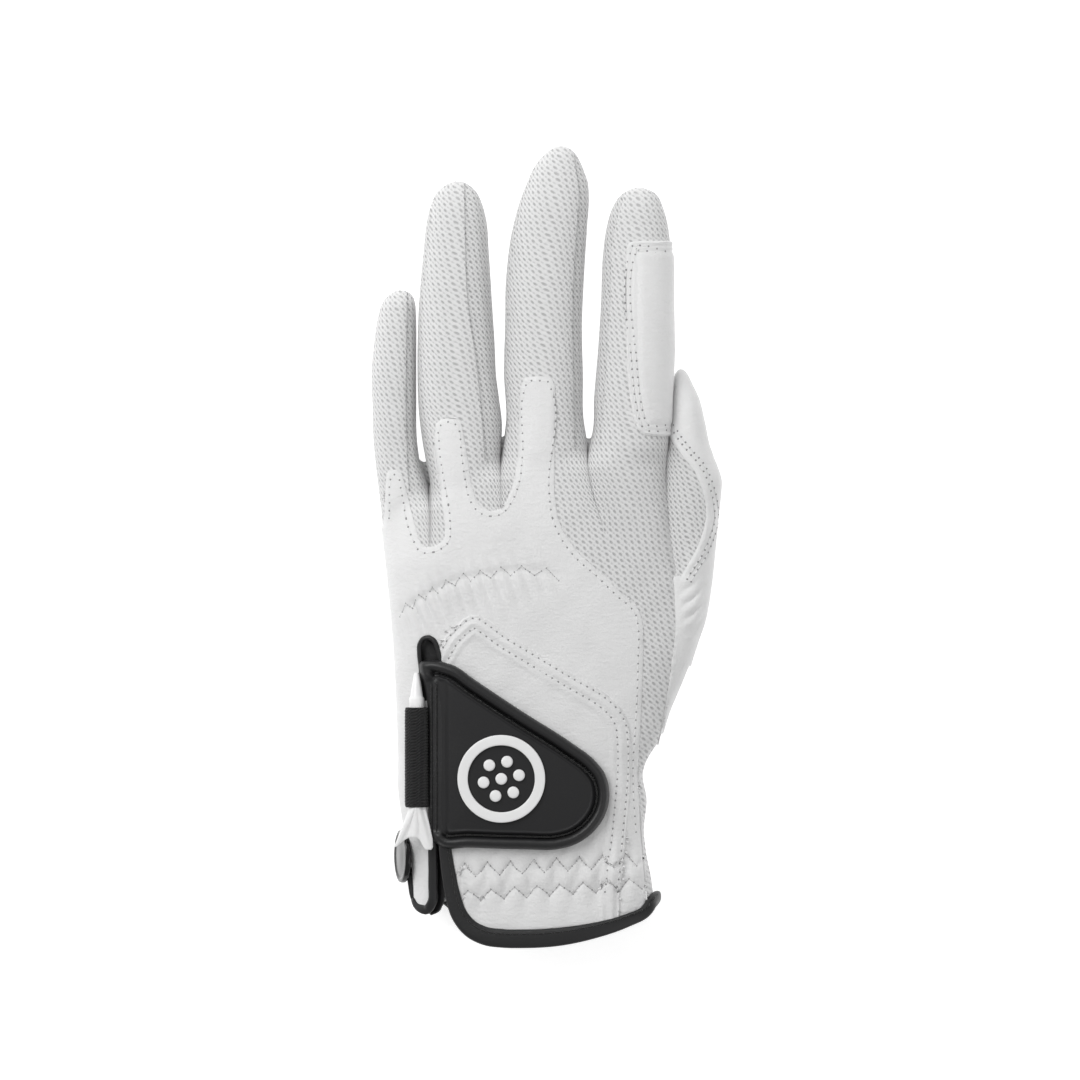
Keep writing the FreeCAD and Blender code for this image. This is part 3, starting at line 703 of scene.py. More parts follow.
def bead(length, half_wide, half_tall, around=8, along=4):
    """A small rounded bar, the shape of one stitch or one needle hole, along +X about the origin."""
    s = np.linspace(-1, 1, along * 2 + 1)[1:-1]
    turn = np.linspace(0, 2 * np.pi, around, endpoint=False)
    size = (1 - np.abs(s) ** 2.6) ** (1 / 2.6)
    rings = np.stack(np.broadcast_arrays(
        (s * length / 2)[:, None],
        size[:, None] * half_wide * np.cos(turn)[None, :],
        size[:, None] * half_tall * np.sin(turn)[None, :],
    ), axis=-1).reshape(-1, 3)
    quads, caps = ring_faces(len(s), around)
    points = np.concatenate([rings, [[-length / 2, 0, 0], [length / 2, 0, 0]]])
    return points, np.roll(quads, -1, axis=1), caps


def inset_line(outline, distance, step=0.3):
    """A smooth plan line inside an outline, at a distance from it, without the curls at its corners."""
    line = smooth_line(outline, step)
    moved = moved_sideways(line, -distance)
    away = np.abs(edge_distance(moved, np.concatenate([line, line[::-1]]))[0])
    return moved[away > abs(distance) * 0.93]


def placed(shape, centres, along, normal):
    """Copies of one shape, each turned so that its +X is along and its +Z is the normal."""
    points, quads, triangles = shape
    across = np.cross(normal, along)
    across /= np.maximum(np.linalg.norm(across, axis=1, keepdims=True), 1e-9)
    along = np.cross(across, normal)
    turned = (
        points[None, :, :1] * along[:, None, :] + points[None, :, 1:2] * across[:, None, :]
        + points[None, :, 2:] * normal[:, None, :] + centres[:, None, :]
    )
    shift = (np.arange(len(centres)) * len(points))[:, None, None]
    return turned.reshape(-1, 3), (quads[None] + shift).reshape(-1, 4), (triangles[None] + shift).reshape(-1, 3)


def stitches(line, height, lift, pitch=2.4, thread=(1.75, 0.2, 0.14), hole=(0.62, 0.3, 0.13), zigzag=False):
    """Thread bars and needle holes along a plan line on a height. One bar lies between each two holes."""
    ends = np.asarray(line, float) if zigzag else spaced(line, pitch)
    z = height(ends[:, 0], ends[:, 1])
    holes = np.concatenate([ends, z[:, None]], axis=1)
    normal = height_normal(height, ends[:, 0], ends[:, 1])
    holes = holes + normal * (lift(ends[:, 0], ends[:, 1])[:, None] if callable(lift) else lift)
    step = np.diff(holes, axis=0)
    size = np.linalg.norm(step, axis=1, keepdims=True)
    middle = (holes[1:] + holes[:-1]) / 2
    bar_normal = (normal[1:] + normal[:-1]) / 2
    bars = placed(bead(*thread), middle, step / size, bar_normal / np.linalg.norm(bar_normal, axis=1,
        keepdims=True))
    direction = np.gradient(holes, axis=0)
    direction /= np.linalg.norm(direction, axis=1, keepdims=True)
    dots = placed(bead(*hole, around=8, along=2), holes, direction, normal)
    return bars, dots
# ---- materials --------------------------------------------------------------------------------
class Field:
    """A number that varies over a surface. Arithmetic on it makes Math nodes."""

    def __init__(self, tree, socket):
        self.tree = tree
        self.socket = socket

    def math(self, operation, other=None):
        return math_node(self.tree, operation, self, other)

    def held(self):
        """Keeps the last result between 0 and 1."""
        self.socket.node.use_clamp = True
        return self

    def __add__(self, other):
        return self.math("ADD", other)

    def __sub__(self, other):
        return self.math("SUBTRACT", other)

    def __rsub__(self, other):
        return math_node(self.tree, "SUBTRACT", other, self)

    def __mul__(self, other):
        return self.math("MULTIPLY", other)


def math_node(tree, operation, first, second=None):
    """One Math node. A number is set on its socket, and a Field is linked."""
    node = tree.nodes.new("ShaderNodeMath")
    node.operation = operation
    for socket, value in zip(node.inputs, (first, second)):
        if isinstance(value, Field):
            tree.links.new(value.socket, socket)
        elif value is not None:
            socket.default_value = value
    return Field(tree, node.outputs[0])


def new_material(name, roughness, **sockets):
    """A material with one Principled shader. Other sockets are given by name with _ for spaces."""
    made = bpy.data.materials.new(name)
    made.use_nodes = True
    tree = made.node_tree
    tree.nodes.clear()
    shader = tree.nodes.new("ShaderNodeBsdfPrincipled")
    output = tree.nodes.new("ShaderNodeOutputMaterial")
    tree.links.new(shader.outputs["BSDF"], output.inputs["Surface"])
    shader.inputs["Roughness"].default_value = roughness
    for socket, value in sockets.items():
        shader.inputs[socket.replace("_", " ")].default_value = value
    return made, tree, shader


def mixed(factor, low, high):
    """A colour between two, by a Field."""
    node = factor.tree.nodes.new("ShaderNodeMix")
    node.data_type = "RGBA"
    factor.tree.links.new(factor.socket, node.inputs["Factor"])
    for socket, value in (("A", low), ("B", high)):
        if isinstance(value, tuple):
            node.inputs[socket].default_value = (*value, 1)
        else:
            factor.tree.links.new(value, node.inputs[socket])
    return node.outputs["Result"]


def coloured(shader, colour):
    """Links a colour to the shader."""
    shader.id_data.links.new(colour, shader.inputs["Base Color"])


def bumped(shader, height, distance, strength=1.0):
    """Bump on the shader's normal, distance in metres."""
    tree = shader.id_data
    bump = tree.nodes.new("ShaderNodeBump")
    bump.inputs["Strength"].default_value = strength
    bump.inputs["Distance"].default_value = distance
    tree.links.new(height.socket, bump.inputs["Height"])
    tree.links.new(bump.outputs[0], shader.inputs["Normal"])


def noise(tree, place, scale, detail=3.0, roughness=0.55):
    """A noise texture's value."""
    node = tree.nodes.new("ShaderNodeTexNoise")
    node.inputs["Scale"].default_value = scale
    node.inputs["Detail"].default_value = detail
    node.inputs["Roughness"].default_value = roughness
    tree.links.new(place, node.inputs["Vector"])
    return Field(tree, node.outputs["Fac"])


def object_place(tree, scale=(1, 1, 1), turn=(0, 0, 0)):
    """Object coordinates, turned and stretched."""
    place = tree.nodes.new("ShaderNodeTexCoord")
    mapping = tree.nodes.new("ShaderNodeMapping")
    mapping.inputs["Scale"].default_value = scale
    mapping.inputs["Rotation"].default_value = turn
    tree.links.new(place.outputs["Object"], mapping.inputs["Vector"])
    return mapping.outputs[0]


def cloth_place(tree):
    """The cloth's own flat place, in millimetres, as two Fields."""
    layer = tree.nodes.new("ShaderNodeUVMap")
    layer.uv_map = "Cloth"
    split = tree.nodes.new("ShaderNodeSeparateXYZ")
    tree.links.new(layer.outputs[0], split.inputs[0])
    return Field(tree, split.outputs[0]) * CLOTH_UNIT, Field(tree, split.outputs[1]) * CLOTH_UNIT


def shade(colour, amount):
    """A colour made darker or lighter."""
    return tuple(min(1, part * amount) for part in colour)


def grey(value):
    return (value, value, value)


def knit_material(name, colour, pit_shade_colour, pitch, row):
    """Mesh knit: deep slanting pits on a lattice, weaker ones half-way between, and soft ribs. The pits are
    also painted darker in the colour, as painted shade in the recesses.
    """
    made, tree, shader = new_material(
        name, 0.82, Sheen_Weight=0.2, Sheen_Roughness=0.4, Specular_IOR_Level=0.25)
    u, v = cloth_place(tree)
    wander = object_place(tree)
    drift = (noise(tree, wander, 160, 2) - 0.5) * 0.55
    v = v * (1 / row)
    u = u * (1 / pitch) + v * 0.18 + drift
    v = v + drift * 0.6

    def pits(shift, size):
        across = (u + shift).math("FRACT") - 0.5
        along = (v + shift).math("FRACT") - 0.5
        slant, tall = across + along * 0.45, along * 0.72
        away = (slant * slant + tall * tall).math("SQRT")
        return (1.0 - away * (1 / size)).held()

    strong = (pits(0.0, 0.27) * 1.6).held()
    weak = (pits(0.5, 0.22) * 1.1).held()
    pit = strong.math("MAXIMUM", weak * 0.62)
    along_ribs = ((u + v) * (2 * math.pi)).math("COSINE")
    cross_ribs = ((u - v) * (2 * math.pi)).math("COSINE")
    ribs = along_ribs + cross_ribs * 0.5
    yarn = noise(tree, wander, 1900, 2)
    ground = mixed(noise(tree, wander, 45, 3), shade(colour, 0.94), colour)
    # the pits take the darker pit colour: painted shade in the recesses
    coloured(shader, mixed(pit, ground, pit_shade_colour))
    bumped(shader, ribs * -0.14 - pit + yarn * 0.3, 0.0002)
    return made


def leather_material(name, colour, roughness, grain=0.75, depth=0.00028, specular=0.35):
    """Soft leather: a pebbled grain, fine slanting creases, and a slight change of tone."""
    made, tree, shader = new_material(name, roughness, Specular_IOR_Level=specular)
    place = object_place(tree)
    cells = tree.nodes.new("ShaderNodeTexVoronoi")
    cells.inputs["Scale"].default_value = 1000 / grain
    tree.links.new(place, cells.inputs["Vector"])
    pebbles = Field(tree, cells.outputs["Distance"])
    creases = noise(tree, object_place(tree, (1, 2.6, 1), (0, 0, 0.6)), 330, 5, 0.62)
    broad = noise(tree, place, 90, 3)
    bumped(shader, pebbles * 0.35 + creases + broad * 0.8, depth, 0.8)
    coloured(shader, mixed(broad * 0.6 + creases * 0.4, shade(colour, 0.9), shade(colour, 1.05)))
    return made


def ribbed_material(name, colour, rib, angle, depth):
    """Woven elastic: slanting ribs crossed by fine picks. Its colour follows the ribs' height: painted shade in
    the grooves and painted highlight on the crests.
    """
    made, tree, shader = new_material(name, 0.8, Sheen_Weight=0.1)
    u, v = cloth_place(tree)
    slant = u * (math.cos(angle) / rib) + v * (math.sin(angle) / rib) + u.math("PINGPONG", 1.1) * 0.5
    wave = (slant * (2 * math.pi)).math("COSINE")
    picks = (v * (2 * math.pi / 0.5)).math("COSINE")
    height = wave + picks * 0.35
    # colour from the ribs' height: painted shade in the grooves, painted highlight on the crests
    coloured(shader, mixed((height * 0.35 + 0.5).held(), shade(colour, 0.45), shade(colour, 1.5)))
    bumped(shader, height, depth)
    return made


def fuzzy_material(name, colour, scale, depth, roughness=0.95):
    """Thread, hooks or brushed elastic: a fine rough nap."""
    made, tree, shader = new_material(name, roughness, Sheen_Weight=0.3)
    place = object_place(tree)
    nap = noise(tree, place, scale, 6, 0.7)
    coloured(shader, mixed(nap, shade(colour, 0.9), colour))
    bumped(shader, nap + noise(tree, place, 120, 3) * 0.7, depth)
    return made


def smooth_material(name, colour, roughness, speck=0.04, **sockets):
    """Moulded plastic, rubber or metal: nearly even, with faint mottling and fine marks."""
    made, tree, shader = new_material(name, roughness, **sockets)
    place = object_place(tree)
    coloured(shader, mixed(noise(tree, place, 300, 4), shade(colour, 1 - speck), colour))
    bumped(shader, noise(tree, place, 1500, 3), 0.00001)
    return made


def make_materials(colours):
    """All the finishes, from the panel's colours."""
    white, knit, dark = tuple(colours.leather), tuple(colours.knit), tuple(colours.black)
    # The pits' colour is the knit darkened: painted shade in the knit's recesses.
    pit = shade(knit, colours.pit_shade_brightness)
    return {
        "leather": leather_material("white leather", white, 0.55),
        "palm": leather_material("palm leather", shade(white, 0.97), 0.6, depth=0.0001),
        "knit": knit_material("mesh knit", knit, pit, pitch=2.08, row=1.84),
        # Side knit: the knit and its pits made darker, painted shade for the fingers' sides, the webs between
        # them and the thumb's window
        "gusset": knit_material("side knit", shade(knit, 0.95), shade(pit, 0.85), pitch=2.0, row=1.75),
        "hooks": fuzzy_material("hook strip", dark, 1400, 0.0003, 0.7),
        "tab": leather_material("black leather", dark, 0.55, 0.5, 0.00005, 0.3),
        "tape": leather_material("black tape", shade(dark, 0.8), 0.42, 0.7, 0.00009, 0.45),
        "black_elastic": ribbed_material("black elastic", shade(dark, 0.42), 0.75, 1.0, 0.00018),
        "elastic": fuzzy_material("white elastic", grey(0.7), 800, 0.0002),
        "rubber": smooth_material("white rubber", grey(0.86), 0.38),
        "plastic": smooth_material(
            "white plastic", grey(0.9), 0.28, Subsurface_Weight=0.15, Subsurface_Scale=0.002,
            Subsurface_Radius=(1, 1, 1), Specular_IOR_Level=0.5),
        "chrome": smooth_material("dark chrome", grey(0.04), 0.13, Metallic=1.0),
        "steel": smooth_material("steel", grey(0.5), 0.35, Metallic=1.0),
        # grey thread: painted shadow along the zigzag rows
        "shade_thread": fuzzy_material("sunk thread", grey(0.6), 2600, 0.00005, 0.8),
        "thread": fuzzy_material("white thread", grey(0.84), 2600, 0.00005, 0.6),
        # needle holes: dark grey beads, painted shadow at the ends of each stitch
        "hole": fuzzy_material("needle hole", grey(0.3), 2600, 0.00002, 0.9),
        "black_thread": fuzzy_material("black thread", grey(0.002), 2600, 0.00005, 0.8),
        # black needle holes: near-black beads, painted shadow at the stitch ends on black leather
        "dark_hole": fuzzy_material("black needle hole", grey(0.004), 2600, 0.00002, 0.9),
        "floor": smooth_material(
            "pale floor", grey(0.85), 0.95, 0.0, Emission_Color=(1, 1, 1, 1), Emission_Strength=0.62),
    }


# ---- sizes and colours that the panel offers --------------------------------------------------
def size_field(name, description, default, least, most):
    """A size for the panel."""
    return bpy.props.FloatProperty(name=name, description=description, default=default, min=least, max=most)


def colour_field(name, description, default):
    """A colour for the panel."""
    return bpy.props.FloatVectorProperty(
        name=name, description=description, default=default, subtype="COLOR", min=0, max=1)


class GloveSizes(bpy.types.PropertyGroup):
    """Sizes of the cloth, the layers and the sewing, in millimetres"""
    wall: size_field("Wall", "Thickness of knit and leather", 0.9, 0.4, 2)
    overlay: size_field("Overlay", "How far the leather stands over the knit", 0.5, 0.1, 1.5)
    patch: size_field("Patch", "How far the closure's patch stands over the knit", 1.15, 0.3, 2)
    stitch: size_field("Stitch", "Distance from one needle hole to the next", 2.4, 1, 5)
    tab_rise: size_field("Tab rise", "Height of the closure tab's panel over the hand", 4.3, 2, 8)
    roll: size_field("Roll", "Width of the tab's rolled edge", 3.6, 2, 6)


class GloveColours(bpy.types.PropertyGroup):
    """Colours of the finishes"""
    leather: colour_field("Leather", "White leather", (0.80, 0.80, 0.80))
    knit: colour_field("Knit", "White mesh knit", (0.78, 0.78, 0.78))
    black: colour_field("Black", "Black leather and tape", (0.016, 0.016, 0.017))
    # Brightness of the painted shade in the knit's pits, against the knit
    pit_shade_brightness: size_field("Pits", "Brightness of the knit's pits against the knit", 0.64, 0, 1)


def sizes():
    """The panel's sizes."""
    return bpy.context.scene.glove_sizes


def material(name):
    """A finish by its short name. The first call makes them all."""
    store = bpy.context.scene.get("glove_materials")
    if store is None:
        made = make_materials(bpy.context.scene.glove_colours)
        bpy.context.scene["glove_materials"] = {key: value.name for key, value in made.items()}
        store = bpy.context.scene["glove_materials"]
    return bpy.data.materials[store[name]]


def blend_digit(piece, name):
    """Bakes the piece's transform into its mesh, the same for the thumb as for the other digits."""
    if name == "thumb":
        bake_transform(piece)
        return
    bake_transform(piece)


def finish(piece, body, slot, *nodes):
    """Rides the piece on a body, or bakes its transform for a digit, and hides the nodes it stands for. slot is
    not used.
    """
    if isinstance(body, str):
        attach(piece, body)
    else:
        blend_digit(piece, body[0])
    if nodes:
        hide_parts(*nodes)
    return piece


def sew(name, body, slot, lines, height, lift, finishes=("thread", "hole"), **options):
    """Stitch rows as two pieces: the thread, and the needle holes, dark beads whose colour is painted shadow.
    """
    made = [stitches(line, height, lift, **options) for line in lines]
    for kind, number, finish_name in (("thread", 0, finishes[0]), ("holes", 1, finishes[1])):
        piece = make_piece(f"{name}_{kind}", *joined([rows[number] for rows in made]),
            material=material(finish_name), sharp=3.0)
        finish(piece, body, slot)


# ---- gusset seams: the turn round each finger at which its side strip begins -------------------
RIGHT_SEAM = {
    "ring": [(26, -18.2), (41.5, -19.4), (53, -20.6), (64.6, -22.2), (76, -23.6), (87, -24.0), (106, -24.4)],
    "middle": [(30, 8.6), (51, 8.2), (80, 8.3), (95, 9.3), (106, 9.9), (116, 8.6)],
    "pinky": [(17, -41.2), (44, -41.9), (70, -41.6)],
}
LEFT_SEAM = {
    "ring": [(20, -33.4), (44, -36.6), (73, -36.6), (98, -34.2)],
    "middle": [(26, -11.6), (51, -11.0), (80, -10.5), (105, -6.2), (112, -3.4)],
    "index": [(30, 16.6), (44, 17.6), (73, 19.4), (95, 20.8), (104, 23.4)],
}


def seam_turn(name, knots, y):
    """The turn of a seam from the x it runs along."""
    middle, wide = digit_section(name, y)[:2]
    share = np.clip((through(knots, y) - middle) / np.maximum(wide, 1e-6), -0.93, 0.93)
    return np.arccos(power(share, DIGIT_ROUND / 2))


class GLOVE_OT_fingers(bpy.types.Operator):
    """Knit backs, knit side strips and leather fronts of the four fingers"""
    bl_idname = "glove.fingers"
    bl_label = "Fingers"

    def execute(self, context):
        wall = sizes().wall
        for name in FINGERS:
            left, right = LEFT_SEAM.get(name), RIGHT_SEAM.get(name)
            left_turn = (lambda y, n=name, k=left: seam_turn(n, k, y)) if left else math.pi
            right_turn = (lambda y, n=name, k=right: seam_turn(n, k, y)) if right else 0.0
            grid, flat = digit_grid(name, left_turn, right_turn, 64, 210)
            finish(make_sheet(f"{name}_knit_back", grid, flat, material("knit"), wall), (name,), "knit",
                f"{name}_back")
            for side, turn, other, has in (("outer", math.pi, left_turn, left),
                ("inner", right_turn, 0.0, right)):
                if not has:
                    continue
                node = f"{name}_gusset" if name in ("pinky", "index") else f"{name}_gusset_{side}"
                grid, flat = digit_grid(name, turn, other, 22, 210)
                edge = np.minimum(np.linspace(0, 1, 23), np.linspace(1, 0, 23))
                near_seam = np.linspace(0, 1, 23) if side == "outer" else np.linspace(1, 0, 23)
                dip = 0.55 * ease((near_seam - 0.55) / 0.45) + 0.1 * ease(edge * 8)
                grid = grid - grid_normals(grid) * dip[None, :, None]
                # the side strips take the darker side knit: painted shade between the fingers
                finish(make_sheet(f"{name}_side_{side}", grid, flat, material("gusset"), wall), (name,),
                    "gusset_knit", node)
            grid, flat = digit_grid(name, -math.pi, 0.0, 56, 150)
            piece = make_sheet(f"{name}_leather_front", grid, flat, material("palm"), wall, flip=True)
            finish(piece, (name,), "palm_leather", f"{name}_front")
        return {"FINISHED"}


class GLOVE_OT_hand(bpy.types.Operator):
    """Knit back of the hand, its leather panel and tongues, and the leather palm"""
    bl_idname = "glove.hand"
    bl_label = "Hand"

    def execute(self, context):
        wall, lift = sizes().wall, sizes().overlay
        opening = np.concatenate([
            [(-70, 60), (-70, -96)], smooth_line(FLAP_LINE, 0.8), [(SLIT[0], SLIT[2])],
            [(SLIT[1], SLIT[2])], smooth_line(CUFF_LINE, 0.8), [(60, -104), (60, 60)],
        ])
        grid, flat = hand_grid(160, 285)
        distance = plan_distance(grid, opening)
        hole = plan_distance(grid, smooth_line(KEYHOLE, 0.6)) < 0
        ok = (distance < 0.5) & ~hole
        finish(make_sheet("hand_knit_back", grid, flat, material("knit"), wall, ok), "hand", "knit",
            "back_knit")
        leather, leather_flat, leather_ok, _ = clipped(grid, flat, LEATHER_EDGE, lift)
        piece = make_sheet("hand_leather_back", leather, leather_flat, material("leather"), lift + 0.2,
            leather_ok & ok)
        finish(piece, "hand", "back_leather", "back_leather")
        leather, leather_flat, leather_ok, _ = clipped(grid, flat, THENAR_EDGE, lift)
        piece = make_sheet("hand_leather_thenar", leather, leather_flat, material("leather"), lift + 0.2,
            leather_ok)
        finish(piece, "hand", "palm_leather")
        palm, palm_flat = hand_grid(120, 180, False)
        below = plan_distance(palm, palm_outline()) < 0.5
        piece = make_sheet("hand_leather_palm", palm, palm_flat, material("palm"), wall, below, flip=True)
        finish(piece, "hand", "palm_leather", "palm_panel")
        for name in ("pinky", "ring", "middle"):
            grid, flat = digit_grid(name, math.pi - 0.2, 0.2, 72, 230)
            tongue, tongue_flat, tongue_ok, _ = clipped(grid, flat, LEATHER_EDGE, lift)
            piece = make_sheet(f"{name}_leather_tongue", tongue, tongue_flat, material("leather"), lift + 0.2,
                tongue_ok)
            finish(piece, (name,), "back_leather", f"{name}_tab")
        grid, flat = digit_grid("index", math.pi * 0.75, 0.0, 72, 230)
        patch, patch_flat, patch_ok, inside = clipped(grid, flat, INDEX_PATCH, 0.75)
        rows = np.exp(-((inside - 1.6) / 0.5) ** 2) * -0.25 - 0.25 * np.exp(-((inside - 3.1) / 0.5) ** 2)
        patch = patch + grid_normals(grid) * (rows + 0.2 * ease((inside - 3.6) / 1.5))[..., None]
        finish(make_sheet("index_leather_patch", patch, patch_flat, material("leather"), 0.9, patch_ok),
            ("index",), "back_leather", "index_patch")
        return {"FINISHED"}


class GLOVE_OT_webs(bpy.types.Operator):
    """Knit webs at the bottom of the gaps between the fingers"""
    bl_idname = "glove.webs"
    bl_label = "Webs"

    def execute(self, context):
        gaps = ((-38.6, -34.4, 14, 27, 10.5), (-15.0, -11.4, 22, 34.5, 12.5), (10.8, 15.0, 26, 34.0, 14.0))
        for number, (x0, x1, y0, y1, level) in enumerate(gaps):
            x = x0 + (x1 - x0) * np.linspace(0, 1, 15)[None, :]
            y = y0 + (y1 - y0) * np.linspace(0, 1, 25)[:, None]
            x, y = np.broadcast_arrays(x, y)
            bow = 4 * (x - x0) * (x1 - x) / (x1 - x0) ** 2
            z = level - 1.6 * bow - 3.5 * ease((y - y0 - 4) / (y1 - y0 - 4)) + 0 * x
            grid = np.stack([x, y - 1.8 * bow * ((y - y0) / (y1 - y0)), z], axis=-1)
            # the webs take the darker side knit: painted shade at the bottom of the gaps
            piece = make_sheet(f"web_{number}", grid, grid[..., :2], material("gusset"), 0.7)
            finish(piece, "hand", "gusset_knit")
        return {"FINISHED"}


def palm_outline():
    """The palm's outline at the cuff."""
    low = [(-70, 60), (-70, -100), (-40, -100.4), (-34, -104), (-27, -109.6), (-20, -115.6), (-6, -118.4),
        (14, -116.6), (26, -113), (36, -107), (60, -104), (60, 60)]
    return np.array(low, float)


class GLOVE_OT_thumb(bpy.types.Operator):
    """Leather thumb with its knit window"""
    bl_idname = "glove.thumb"
    bl_label = "Thumb"

    def execute(self, context):
        lift = 0.75
        grid, flat = digit_grid("thumb", math.pi, 0.0, 110, 200)
        window = plan_distance(grid, THUMB_WINDOW)
        knit = grid + grid_normals(grid) * (-0.5 * ease(-window / 2.5))[..., None]
        # the window takes the darker side knit: painted shade under the leather's edge
        piece = make_sheet("thumb_knit_window", knit, flat, material("gusset"), 0.7, window < 1.5)
        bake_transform(piece)
        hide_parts("thumb_knit")
        outline = np.concatenate([[(10, -60), (10, -9.6)], np.array(THUMB_WINDOW)[::-1],
            [(10, 38), (10, 90), (80, 90), (80, -60)]])
        leather, leather_flat, ok, inside = clipped(grid, flat, outline, lift, edge=0.7)
        groove = np.exp(-((inside - 2.0) / 0.45) ** 2) + np.exp(-((inside - 3.0) / 0.45) ** 2)
        leather = leather - grid_normals(grid) * (0.14 * groove * (grid[..., 1] < 34) * (grid[...,
            1] > -9))[..., None]
        piece = make_sheet("thumb_leather_top", leather, leather_flat, material("leather"), 1.0, ok)
        finish(piece, ("thumb",), "palm_leather", "thumb_back")
        grid, flat = digit_grid("thumb", -math.pi, 0.0, 60, 130)
        piece = make_sheet("thumb_leather_under", grid, flat, material("palm"), 0.9, flip=True)
        finish(piece, ("thumb",), "palm_leather", "thumb_front")
        edge = smooth_line(THUMB_WINDOW[1:-1], 0.4)
        rows = [moved_sideways(edge, 2.0), moved_sideways(edge, 3.1)]
        sew("thumb_window", ("thumb",), "palm_leather", rows, thumb_height, lift - 0.02, pitch=2.0)
        return {"FINISHED"}


class GLOVE_OT_seams(bpy.types.Operator):
    """Stitch rows round the leather, the tongues, the patch on the index finger, and the zigzags"""
    bl_idname = "glove.seams"
    bl_label = "Seams"

    def execute(self, context):
        pitch, lift = sizes().stitch, sizes().overlay - 0.03
        inner = inset_line(LEATHER_EDGE[1:-1], 1.5)
        inner = inner[(inner[:, 0] > -46.6) & (inner[:, 1] > -86)]
        on_finger = (inner[:, 1] > 8) & (inner[:, 0] < 8)
        which = np.digitize(inner[:, 0], [-33.4, -16.3, 60])
        on_finger &= ~((inner[:, 0] < -28) & (inner[:, 0] > -34) & (inner[:, 1] < 12))
        change = np.flatnonzero(np.diff(on_finger * 4 + which)) + 1
        runs = np.split(np.arange(len(inner)), change)
        hand_rows, finger_rows = [], {}
        for run in runs:
            if len(run) < 10 or inner[run, 0].max() < -52:
                continue
            if on_finger[run[0]]:
                finger_rows.setdefault(("pinky", "ring", "middle", "middle")[which[run[0]]],
                    []).append(inner[run])
            else:
                hand_rows.append(inner[run])
        sew("hand_seam", "hand", "back_leather", hand_rows, back_height, lift, pitch=pitch)
        for name, rows in finger_rows.items():
            sew(f"{name}_tongue_seam", (name,), "back_leather", rows, back_height, lift, pitch=pitch)
        patch = smooth_line([(38, 89.0)] + INDEX_PATCH[2::-1] + INDEX_PATCH[:4:-1] + [(36, 33.1)], 0.3)
        patch = patch[patch[:, 0] < 36.2]
        sew("index_patch_seam", ("index",), "back_leather", [moved_sideways(patch, 1.5), moved_sideways(patch,
            3.0)], back_height, 0.6, pitch=2.5)
        tooth = 1.7 * 1.05 ** np.arange(18)
        x = -43.2 + (4.0 + 43.2) * np.concatenate([[0], np.cumsum(tooth)]) / tooth.sum()
        y = knuckle_line(x) + np.where(np.arange(len(x)) % 2 == 0, -1.5, 1.5)
        sew("knuckle_zigzag", "hand", "back_leather", [zigzag_points(x, y)], back_height, lift, zigzag=True,
            finishes=("shade_thread", "hole"),
            thread=(1.25, 0.17, 0.12), hole=(0.5, 0.24, 0.1))
        rows = []
        for centre, slope, first, half in wrist_rows():
            x = np.arange(first, 29.5, 3.42)
            rows.append(zigzag_points(x, centre + slope * x + np.where(np.arange(len(x)) % 2 == 0, -half,
                half)))
        sew("wrist_zigzag", "hand", "back_leather", rows, back_height, wrist_lift, zigzag=True,
            finishes=("shade_thread", "hole"), thread=(1.2, 0.17, 0.12), hole=(0.5, 0.24, 0.1))
        return {"FINISHED"}


def wrist_lift(x, y):
    """How far the sewing at the wrist stands over the knit, on the closure's patch or beside it."""
    inside = -edge_distance(np.stack([x, y], axis=-1), HEM_LINE)[0]
    return np.where(inside > 0, sizes().patch + 0.2 - 0.35 * ease((inside - 5.4) / 1.2), sizes().overlay + 0.1)


def zigzag_points(x, y):
    """Three stitches on each leg of a zigzag through corners."""
    share = np.linspace(0, 1, 4)[:-1]
    points = np.stack([x, y], axis=1)
    legs = points[:-1, None, :] + (points[1:, None, :] - points[:-1, None, :]) * share[None, :, None]
    return np.concatenate([legs.reshape(-1, 2), points[-1:]])


class GLOVE_OT_loop_patch(bpy.types.Operator):
    """White patch that the closure grips, with its folded hem"""
    bl_idname = "glove.loop_patch"
    bl_label = "Loop patch"

    def execute(self, context):
        grid, flat = hand_grid(190, 330)
        patch, patch_flat, ok, _ = clipped(grid, flat, LOOP_PATCH, sizes().patch, edge=0.6, height=back_height)
        inside = np.maximum(-edge_distance(grid[..., :2].reshape(-1, 2), HEM_LINE)[0],
            0).reshape(grid.shape[:2])
        shape = (
            0.28 * np.exp(-((inside - 2.7) / 0.45) ** 2) - 0.22 * np.exp(-((inside - 1.2) / 0.4) ** 2)
            - 0.22 * np.exp(-((inside - 4.2) / 0.4) ** 2) - 0.35 * ease((inside - 5.4) / 1.2)
        )
        patch = patch + grid_normals(grid) * shape[..., None]
        ok = ok & (grid[..., 1] > -119.5) & (edge_distance(grid[..., :2].reshape(-1, 2), np.concatenate([
            [(-31.4, 0), (-31.4, -86)], smooth_line(CUFF_LINE, 0.8), [(60, -104),
                (60, 0)]]))[0].reshape(grid.shape[:2]) < 0.3)
        finish(make_sheet("loop_patch", patch, patch_flat, material("leather"), 1.2, ok), "hand",
            "loop_fabric", "loop_patch")
        outer, inner = (inset_line(LOOP_PATCH[:-2], distance) for distance in (1.2, 4.2))
        outer = outer[outer[:, 1] > -117]
        inner = inner[inner[:, 1] > -117]
        sew("loop_patch_seam", "hand", "loop_fabric", [outer, inner], back_height, sizes().patch - 0.15,
            pitch=2.1, thread=(1.5, 0.18, 0.12))
        return {"FINISHED"}


